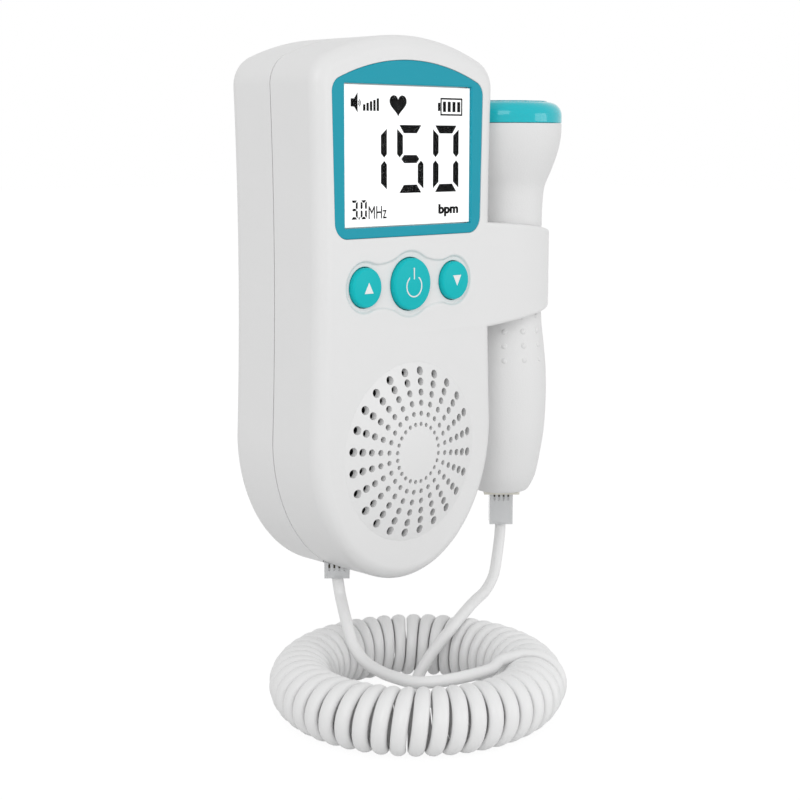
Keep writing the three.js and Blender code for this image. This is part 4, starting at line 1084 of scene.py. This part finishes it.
def display_segments():
    shapes = [stroke_shapes(*cell)[lit] for letters, *cell in DIGITS for lit in letters]
    shapes.append(box_outline(-16.6, -16.2, 58.3, 58.8))
    shapes.append([(-19, 86.5), (-19, 84.6), (-17.9, 84.6), (-16.8, 83.3), (-16.8, 87.9), (-17.9, 86.5)])
    for reach in (0.65, 1.1):
        wave = arc(-17.0, 85.5, reach + 0.12, -0.9, 0.9, 8) + arc(-17.0, 85.5, reach - 0.1, 0.9, -0.9, 8)
        shapes.append(wave)
    for step in range(5):
        left = -15.0 + step * 1.12
        shapes.append(box_outline(left, left + 0.72, 83.7, 85.2 + step * 0.36))
    shapes.append(heart_outline(-6.25, -0.45, 82.4, 87.5))
    for step in range(4):
        left = 12.3 + step * 1.72
        shapes.append(box_outline(left, left + 1.05, 83.8, 86.3))
    shapes.append(box_outline(10.5, 11.3, 84, 86))
    surface = Surface()
    for shape in shapes:
        surface.prism(shifted(shape), SEGMENT_NEAR, SEGMENT_FAR)
    frame_shape = shifted(box_outline(11.4, 19.3, 82.9, 87.2))
    hole = shifted(box_outline(11.8, 18.9, 83.3, 86.8))
    surface.prism(frame_shape, SEGMENT_NEAR, SEGMENT_FAR, holes=[hole])
    return surface.made("display_segments", segment_black)


display_segments_piece = display_segments()
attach(display_segments_piece, "unit")


# %% Units
def unit_text(name, text, left, right, low, high, bold=0.0):
    """A word of the built-in type, fitted between its corners on the display."""
    letters = bpy.data.curves.new(name, "FONT")
    letters.body = text
    letters.offset = bold
    letters.resolution_u = 4
    writer = bpy.data.objects.new(name, letters)
    bpy.context.scene.collection.objects.link(writer)
    view = bpy.context.evaluated_depsgraph_get()
    flat = bpy.data.meshes.new_from_object(writer.evaluated_get(view))
    bpy.data.objects.remove(writer)
    work = bmesh.new()
    work.from_mesh(flat)
    bmesh.ops.remove_doubles(work, verts=work.verts, dist=1e-5)
    xs = [vertex.co.x for vertex in work.verts]
    ys = [vertex.co.y for vertex in work.verts]
    for vertex in work.verts:
        x = left + (right - left) * (vertex.co.x - min(xs)) / (max(xs) - min(xs))
        z = low + (high - low) * (vertex.co.y - min(ys)) / (max(ys) - min(ys))
        vertex.co = Vector(((x + SHIFT) * MM, SEGMENT_FAR * MM, z * MM))
    grown = bmesh.ops.extrude_face_region(work, geom=list(work.faces))
    for item in grown["geom"]:
        if isinstance(item, bmesh.types.BMVert):
            item.co.y = SEGMENT_NEAR * MM
    bmesh.ops.recalc_face_normals(work, faces=work.faces)
    work.to_mesh(flat)
    work.free()
    flat.materials.clear()
    flat.materials.append(segment_black)
    piece = bpy.data.objects.new(name, flat)
    bpy.context.scene.collection.objects.link(piece)
    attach(piece, "unit")
    return piece


unit_text("frequency_unit", "MHz", -13.3, -7.3, 58.3, 61.3)
unit_text("rate_unit", "bpm", 10.8, 18.0, 58.1, 61.2, bold=0.045)
print("display:", len(DIGITS), "digits")

# %% [markdown]
# ## The buttons
# Three round teal caps stand a little proud of the recess. Each is one turned profile: a crowned face,
# a small soft edge and a side that runs down through the shell. Their white symbols are moulded in, so
# they are thin inlays that ride on their own button and move with it when it is pressed.

# %% Buttons
BUTTON_PROUD, BUTTON_CROWN, BUTTON_EDGE = 1.2, 0.35, 0.6


def button_profile(radius):
    crown = FACE - BUTTON_PROUD
    flat = radius - BUTTON_EDGE
    face = [(flat * step / 8, crown + BUTTON_CROWN * (step / 8) ** 2) for step in range(9)]
    edge = []
    for step in range(1, 7):
        turn = QUARTER * step / 6
        edge.append((
            flat + BUTTON_EDGE * math.sin(turn),
            crown + BUTTON_CROWN + BUTTON_EDGE * (1 - math.cos(turn)),
        ))
    near, far = FACE_INNER + 0.3, FACE_INNER + 1.2
    side = [(radius, crown + 1.3), (radius, near), (radius + 1.1, near), (radius + 1.1, far), (0, far)]
    return face + edge + side


def symbol(name, button, outlines):
    x = BUTTONS[button][0]
    surface = Surface()
    for outline in outlines:
        moved = [(x + a, BUTTON_Z + b) for a, b in outline]
        surface.prism(moved, FACE - BUTTON_PROUD - 0.02, FACE - 0.6)
    piece = surface.made(name, symbol_white)
    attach(piece, button)
    return piece


for name, (x, radius) in BUTTONS.items():
    surface = Surface()
    surface.turn(button_profile(radius), across(x, BUTTON_Z), 64)
    key = surface.made(name.replace("button", "key"), button_teal, sharp=45)
    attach(key, name)
    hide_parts(name)

TRIANGLE = [(-1.45, -1.35), (1.45, -1.35), (0, 1.3)]
symbol("up_symbol", "up_button", [TRIANGLE])
symbol("down_symbol", "down_button", [[(x, -z) for x, z in TRIANGLE]])
POWER_RING, POWER_WIDTH, POWER_DROP = 2.75, 0.31, -0.5
gap = math.radians(33)
ring_shape = [
    *arc(0, POWER_DROP, POWER_RING, QUARTER + gap, QUARTER + 2 * math.pi - gap, 48),
    *arc(0, POWER_DROP, POWER_RING - POWER_WIDTH, QUARTER + 2 * math.pi - gap, QUARTER + gap, 48),
]
bar_shape = box_outline(-POWER_WIDTH / 2, POWER_WIDTH / 2, 1.2, 4.0)
symbol("power_symbol", "power_button", [ring_shape, bar_shape])
print("buttons:", ", ".join(BUTTONS))

# %% [markdown]
# ## The probe
# The probe is turned about its own upright axis: a handle that swells from a small foot, draws in to a
# neck where the holder grips it, and flares to a round head. A smooth curve through the few radii that
# the frame uses gives the fine profile, and the glossy cap closes it with a soft edge.

# %% Probe handle
FOOT, NECK, HEAD_LOW, HEAD_TOP = -18.8, 54, 81.4, 87.5
FOOT_HALF, GRIP, NECK_RADIUS, HEAD = 7.2, 12.12, 10.33, 15.3
LOWER_SHARES = [
    (0.006, 0.09), (0.024, 0.245), (0.058, 0.46), (0.149, 0.73), (0.236, 0.915), (0.348, 1),
]
WAIST_SHARES = [(0.46, 0.06), (0.572, 0.5), (0.643, 0.83), (0.735, 0.96), (0.857, 1), (1, 1)]
FLARE_SHARES = [(0.23, 0.03), (0.39, 0.13), (0.55, 0.48), (0.73, 0.82), (0.89, 0.98), (1, 1)]


def upright(x, y):
    """Places a turned profile about an upright axis."""
    return lambda a, b, height: (x + a, y + b, height)


def handle_line():
    points = [(FOOT_HALF, FOOT)]
    points += [(FOOT_HALF + (GRIP - FOOT_HALF) * out, FOOT + (NECK - FOOT) * up) for up, out in LOWER_SHARES]
    points += [(GRIP + (NECK_RADIUS - GRIP) * draw, FOOT + (NECK - FOOT) * up) for up, draw in WAIST_SHARES]
    points += [
        (NECK_RADIUS + (HEAD - NECK_RADIUS) * out, NECK + (HEAD_LOW - NECK) * up)
        for up, out in FLARE_SHARES
    ]
    return [tuple(point) for point in through(points, 5)]


def probe_handle():
    line = handle_line()
    surface = Surface()
    wall = [(radius - 1.7, height) for radius, height in line[10:]]
    top = HEAD_LOW
    edge = [(HEAD - 0.04, top - 0.02), (HEAD - 0.15, top)]
    profile = [(0, FOOT), (FOOT_HALF - 0.3, FOOT), *line[:-1], (HEAD, top - 0.15), *edge]
    profile += [(HEAD - 1.7, top), *wall[::-1][1:], (0, FOOT + 3.4)]
    surface.turn(profile, upright(*PROBE), 96)
    piece = surface.made("probe_body", probe_white, sharp=40)
    half = (4.9, 4.5)
    slot = block((-half[0], -half[1], FOOT - 1), (*half, FOOT + 6), turned=PLUG_TURN, about=PROBE)
    return joined(piece, slot, "DIFFERENCE", sharp=40)


probe_body = probe_handle()
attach(probe_body, "probe")
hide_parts("probe_handle")


# %% Probe cap
CAP_EDGE, CAP_CROWN, LENS_RADIUS = 3.6, 0.5, 11.2


def probe_cap():
    low, top = HEAD_LOW + 0.12, HEAD_TOP - CAP_CROWN
    profile = [(12.0, low - 3), (13.3, low - 3), (13.3, low), (HEAD - 0.15, low), (HEAD - 0.04, low + 0.03)]
    profile += [(HEAD, low + 0.15), (HEAD, low + 0.5), (HEAD, top - CAP_EDGE - 0.2)]
    for step in range(13):
        turn = QUARTER * step / 12
        profile.append((HEAD - CAP_EDGE * (1 - math.cos(turn)), top - CAP_EDGE * (1 - math.sin(turn))))
    profile += [(LENS_RADIUS + 0.2, top + 0.1), (LENS_RADIUS + 0.1, top), (LENS_RADIUS + 0.1, 85.8)]
    profile += [(8.9, 85.8), (8.9, 84), (12.0, 81.9)]
    surface = Surface()
    surface.turn(profile, upright(*PROBE), 96)
    return surface.made("probe_head_cap", cap_teal, sharp=40)


head_cap = probe_cap()
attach(head_cap, "probe")
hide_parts("probe_cap")
print("probe: head", HEAD * 2, "mm across")

# %% [markdown]
# ## Grip dots and plug contacts
# The handle carries rows of small raised dots under the band, on the side that the fingers hold.
# They repeat, so a node tree sets one flat ball in each row and column. Each clear plug shows the
# ends of its four contacts in slots just under its shoulder, coloured near black: painted shade and
# dark reflection in the slots, in place of the metal's own colour.

# %% Grip dots
DOT_ROWS, DOT_COLUMNS = 4, 3
DOT_TOP, DOT_PITCH = 30.0, 3.85
DOT_START, DOT_TURN = math.radians(-136), math.radians(28)
DOT_RADIUS = 0.9
DOT_SUNK = 0.5


def handle_radius(height):
    for (near, low), (far, high) in zip(handle_line(), handle_line()[1:]):
        if low <= height <= high:
            return near + (far - near) * (height - low) / (high - low)
    raise ValueError(f"no handle at {height}")


def grip_dots():
    lowest = DOT_TOP - DOT_PITCH * (DOT_ROWS - 1)
    sizes = {
        "Rows": (DOT_ROWS, "Int"), "Columns": (DOT_COLUMNS, "Int"), "Top": (DOT_TOP * MM, "Float"),
        "Pitch": (DOT_PITCH * MM, "Float"), "Start": (DOT_START, "Float"), "Turn": (DOT_TURN, "Float"),
        "Dot radius": (DOT_RADIUS * MM, "Float"),
        "Top reach": ((handle_radius(DOT_TOP) - DOT_SUNK) * MM, "Float"),
        "Low reach": ((handle_radius(lowest) - DOT_SUNK) * MM, "Float"),
    }
    tree, graph, given = empty_tree("grip_dots", sizes)
    index = graph.node("GeometryNodeInputIndex")
    row = (index / given["Columns"]).maths("FLOOR", index / given["Columns"] + 0.001)
    angle = given["Start"] + (index - row * given["Columns"]) * given["Turn"]
    share = row / (given["Rows"] - 1)
    reach = given["Top reach"] + (given["Low reach"] - given["Top reach"]) * share
    place = graph.node("ShaderNodeCombineXYZ", inputs={
        "X": reach * angle.maths("COSINE", angle) + PROBE[0] * MM,
        "Y": reach * angle.maths("SINE", angle) + PROBE[1] * MM,
        "Z": given["Top"] - row * given["Pitch"],
    })
    points = graph.node("GeometryNodePoints", inputs={
        "Count": given["Rows"] * given["Columns"], "Position": place,
    })
    ball = graph.node("GeometryNodeMeshUVSphere", inputs={
        "Segments": 20, "Rings": 12, "Radius": given["Dot radius"],
    })
    dots = graph.node("GeometryNodeInstanceOnPoints", inputs={"Points": points, "Instance": ball})
    real = graph.node("GeometryNodeRealizeInstances", inputs={"Geometry": dots})
    done = graph.node("GeometryNodeSetMaterial", inputs={"Geometry": real, "Material": probe_white})
    end = tree.nodes.new("NodeGroupOutput")
    graph.feed(end, {"Geometry": done})
    return grown(Surface().made("grip_dots", probe_white), tree, sizes)


dots = grip_dots()
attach(dots, "probe")
print("grip:", DOT_ROWS * DOT_COLUMNS, "dots")


# %% Plug contacts
PLUG_WIDTH, PLUG_HALF_DEPTH = 6.4, 2.8
CONTACTS = 4
CONTACT_HALF, CONTACT_TALL = 0.24, 0.9


def plug_contacts(name, about, top):
    """Four blades in a plug's slots, turned to the plug's bearing, with their upper ends at a height."""
    surface = Surface()
    for count in range(CONTACTS):
        centre = (count - (CONTACTS - 1) / 2) * PLUG_WIDTH / (CONTACTS + 1)
        near, far = -PLUG_HALF_DEPTH + 0.03, -PLUG_HALF_DEPTH + 0.42
        corners = [
            (centre - CONTACT_HALF, near), (centre + CONTACT_HALF, near),
            (centre + CONTACT_HALF, far), (centre - CONTACT_HALF, far),
        ]
        cos, sin = math.cos(PLUG_TURN), math.sin(PLUG_TURN)
        turned = [(about[0] + x * cos - y * sin, about[1] + x * sin + y * cos) for x, y in corners]
        low = surface.ring([(x, y, top - CONTACT_TALL) for x, y in turned])
        high = surface.ring([(x, y, top) for x, y in turned])
        surface.strip([low, high])
        surface.fill(low)
        surface.fill(high)
    # the blades take the painted shade colour of their slots
    return surface.made(name, contact_painted_shade, sharp=30)


for name, about, top, body in [
    ("probe_plug_contacts", PROBE, -19.9, "probe"), ("unit_plug_contacts", UNIT_PLUG, -29.6, "unit"),
]:
    contacts = plug_contacts(name, about, top)
    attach(contacts, body)

# %% [markdown]
# ## The cells
# Two cells lie side by side and head to tail in the bay, and show when the door is open. Each is a
# bright turned can with its nub at one end, in a dark sleeve that leaves both ends bare.

# %% Cells
CELL_RADIUS, CELL_ROUND = 7.1, 0.6
CELL_NUB_RADIUS, CELL_NUB = 2.7, 1.2
CELL_Y = -9.3
CELLS = {"battery_1": (-7.45, 20.15, 69.35, 1), "battery_2": (7.45, 65.5, 16.3, -1)}


def cell(name, x, foot, shoulder, way):
    """A can from its foot to its shoulder with the nub beyond it, and the sleeve round its side."""
    radius = CELL_RADIUS - 0.06
    can = Surface()
    can.turn([
        (0, foot), (radius - CELL_ROUND, foot), (radius, foot + way * CELL_ROUND),
        (radius, shoulder - way * CELL_ROUND), (radius - CELL_ROUND, shoulder),
        (CELL_NUB_RADIUS, shoulder), (CELL_NUB_RADIUS, shoulder + way * CELL_NUB),
        (0, shoulder + way * CELL_NUB),
    ], upright(x, CELL_Y), 48)
    can = can.made(f"{name}_can", bright_metal, sharp=40)
    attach(can, "unit")
    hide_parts(name)
    low, high = foot + way * 0.9, shoulder - way * 0.9
    sleeve = Surface()
    sleeve.turn([
        (radius - 0.05, low), (CELL_RADIUS, low), (CELL_RADIUS, high), (radius - 0.05, high),
    ], upright(x, CELL_Y), 48)
    sleeve = sleeve.made(f"{name}_sleeve", cell_jacket, sharp=40)
    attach(sleeve, "unit")


for name, sizes in CELLS.items():
    cell(name, *sizes)
print("cells:", len(CELLS))

# %% [markdown]
# ## The pieces kept from the frame
# Everything else already has its right shape: the door, the boards, the loudspeaker, the
# screws and the sockets. They only need a finish, given by swapping the material in their slots.

# %% Finishes for kept pieces
# The display panel takes the painted glow of the display's finish.
KEPT = {
    "battery_door": shell_white, "display_window": window_clear, "display_panel": display_painted_glow,
    "display_tray": inner_white, "main_board": circuit_board, "keypad_mat": keypad_rubber,
    "speaker_basket": speaker_steel, "speaker_cone": speaker_paper, "speaker_magnet": speaker_steel,
    "unit_socket": socket_cream, "unit_plug": plug_clear, "probe_lens": lens_teal,
    "transmit_crystal": crystal_ceramic, "receive_crystal": crystal_ceramic,
    "crystal_holder": backing_rubber, "probe_board": circuit_board, "probe_socket": socket_cream,
    "probe_plug": plug_clear,
}
for name, node in nodes.items():
    if node.hide_render:
        continue
    chosen = KEPT.get(name, bright_metal)
    for slot in node.material_slots:
        slot.material = chosen
print("kept pieces:", sum(not node.hide_render for node in nodes.values()))

# %% [markdown]
# ## Floor and light
# The picture has a pure white ground. A floor that shines white to the camera alone keeps that, while
# a small share of plain diffuse paint lets it carry the object's soft shadow. The light is plain: an
# even white surround, one large soft lamp at the left of the face and a weaker one at the right.

# %% Floor
FLOOR = -64.05
floor_mesh = bpy.data.meshes.new("floor")
SPAN = 4
floor_mesh.from_pydata(
    [(x * SPAN, y * SPAN, FLOOR * MM) for x, y in [(-1, -1), (1, -1), (1, 1), (-1, 1)]],
    [], [(0, 1, 2, 3)],
)
floor = bpy.data.objects.new("floor", floor_mesh)
bpy.context.scene.collection.objects.link(floor)
floor_paint = bpy.data.materials.new("floor_paint")
floor_paint.use_nodes = True
floor_tree = floor_paint.node_tree
floor_tree.nodes.remove(floor_tree.nodes["Principled BSDF"])
graph = Graph(floor_tree)


def seen(graph):
    """1 for rays that show a surface, straight or in gloss or glass, and 0 for those that light it."""
    rays = graph.tree.nodes.new("ShaderNodeLightPath")
    total = Value(graph, rays.outputs["Is Camera Ray"])
    for kind in ("Is Glossy Ray", "Is Transmission Ray"):
        total = total.maths("MAXIMUM", total, Value(graph, rays.outputs[kind]))
    return total


diffuse = graph.node("ShaderNodeBsdfDiffuse", inputs={"Color": (0.8, 0.8, 0.8, 1)})
shine = graph.node("ShaderNodeEmission", inputs={"Color": (1, 1, 1, 1), "Strength": 1.08})
mixed = graph.node("ShaderNodeMixShader", inputs={0: seen(graph) * 0.86, 1: diffuse, 2: shine})
graph.feed(floor_tree.nodes["Material Output"], {"Surface": mixed})
floor_mesh.materials.append(floor_paint)

# %% World and lamps
SURROUND = 0.72
world = bpy.data.worlds.new("studio")
bpy.context.scene.world = world
world.use_nodes = True
graph = Graph(world.node_tree)
sky = world.node_tree.nodes["Background"]
sky.inputs["Color"].default_value = (1, 1, 1, 1)
graph.feed(sky, {"Strength": seen(graph) * (1 - SURROUND) + SURROUND})


def lamp(name, place, aim, size, power):
    light = bpy.data.lights.new(name, "AREA")
    light.shape = "RECTANGLE"
    light.size, light.size_y = size
    light.energy = power
    holder = bpy.data.objects.new(name, light)
    holder.location = place
    holder.rotation_euler = (Vector(aim) - Vector(place)).to_track_quat("-Z", "Y").to_euler()
    bpy.context.scene.collection.objects.link(holder)


CENTRE = (0.01, -0.015, 0.02)
lamp("key_lamp", (-0.95, -0.75, 0.6), CENTRE, (0.7, 0.7), 4.6)
lamp("fill_lamp", (0.6, -1.0, 0.0), (0.03, -0.02, -0.02), (0.6, 0.7), 3.5)
print("light: a surround of", SURROUND, "and two lamps")
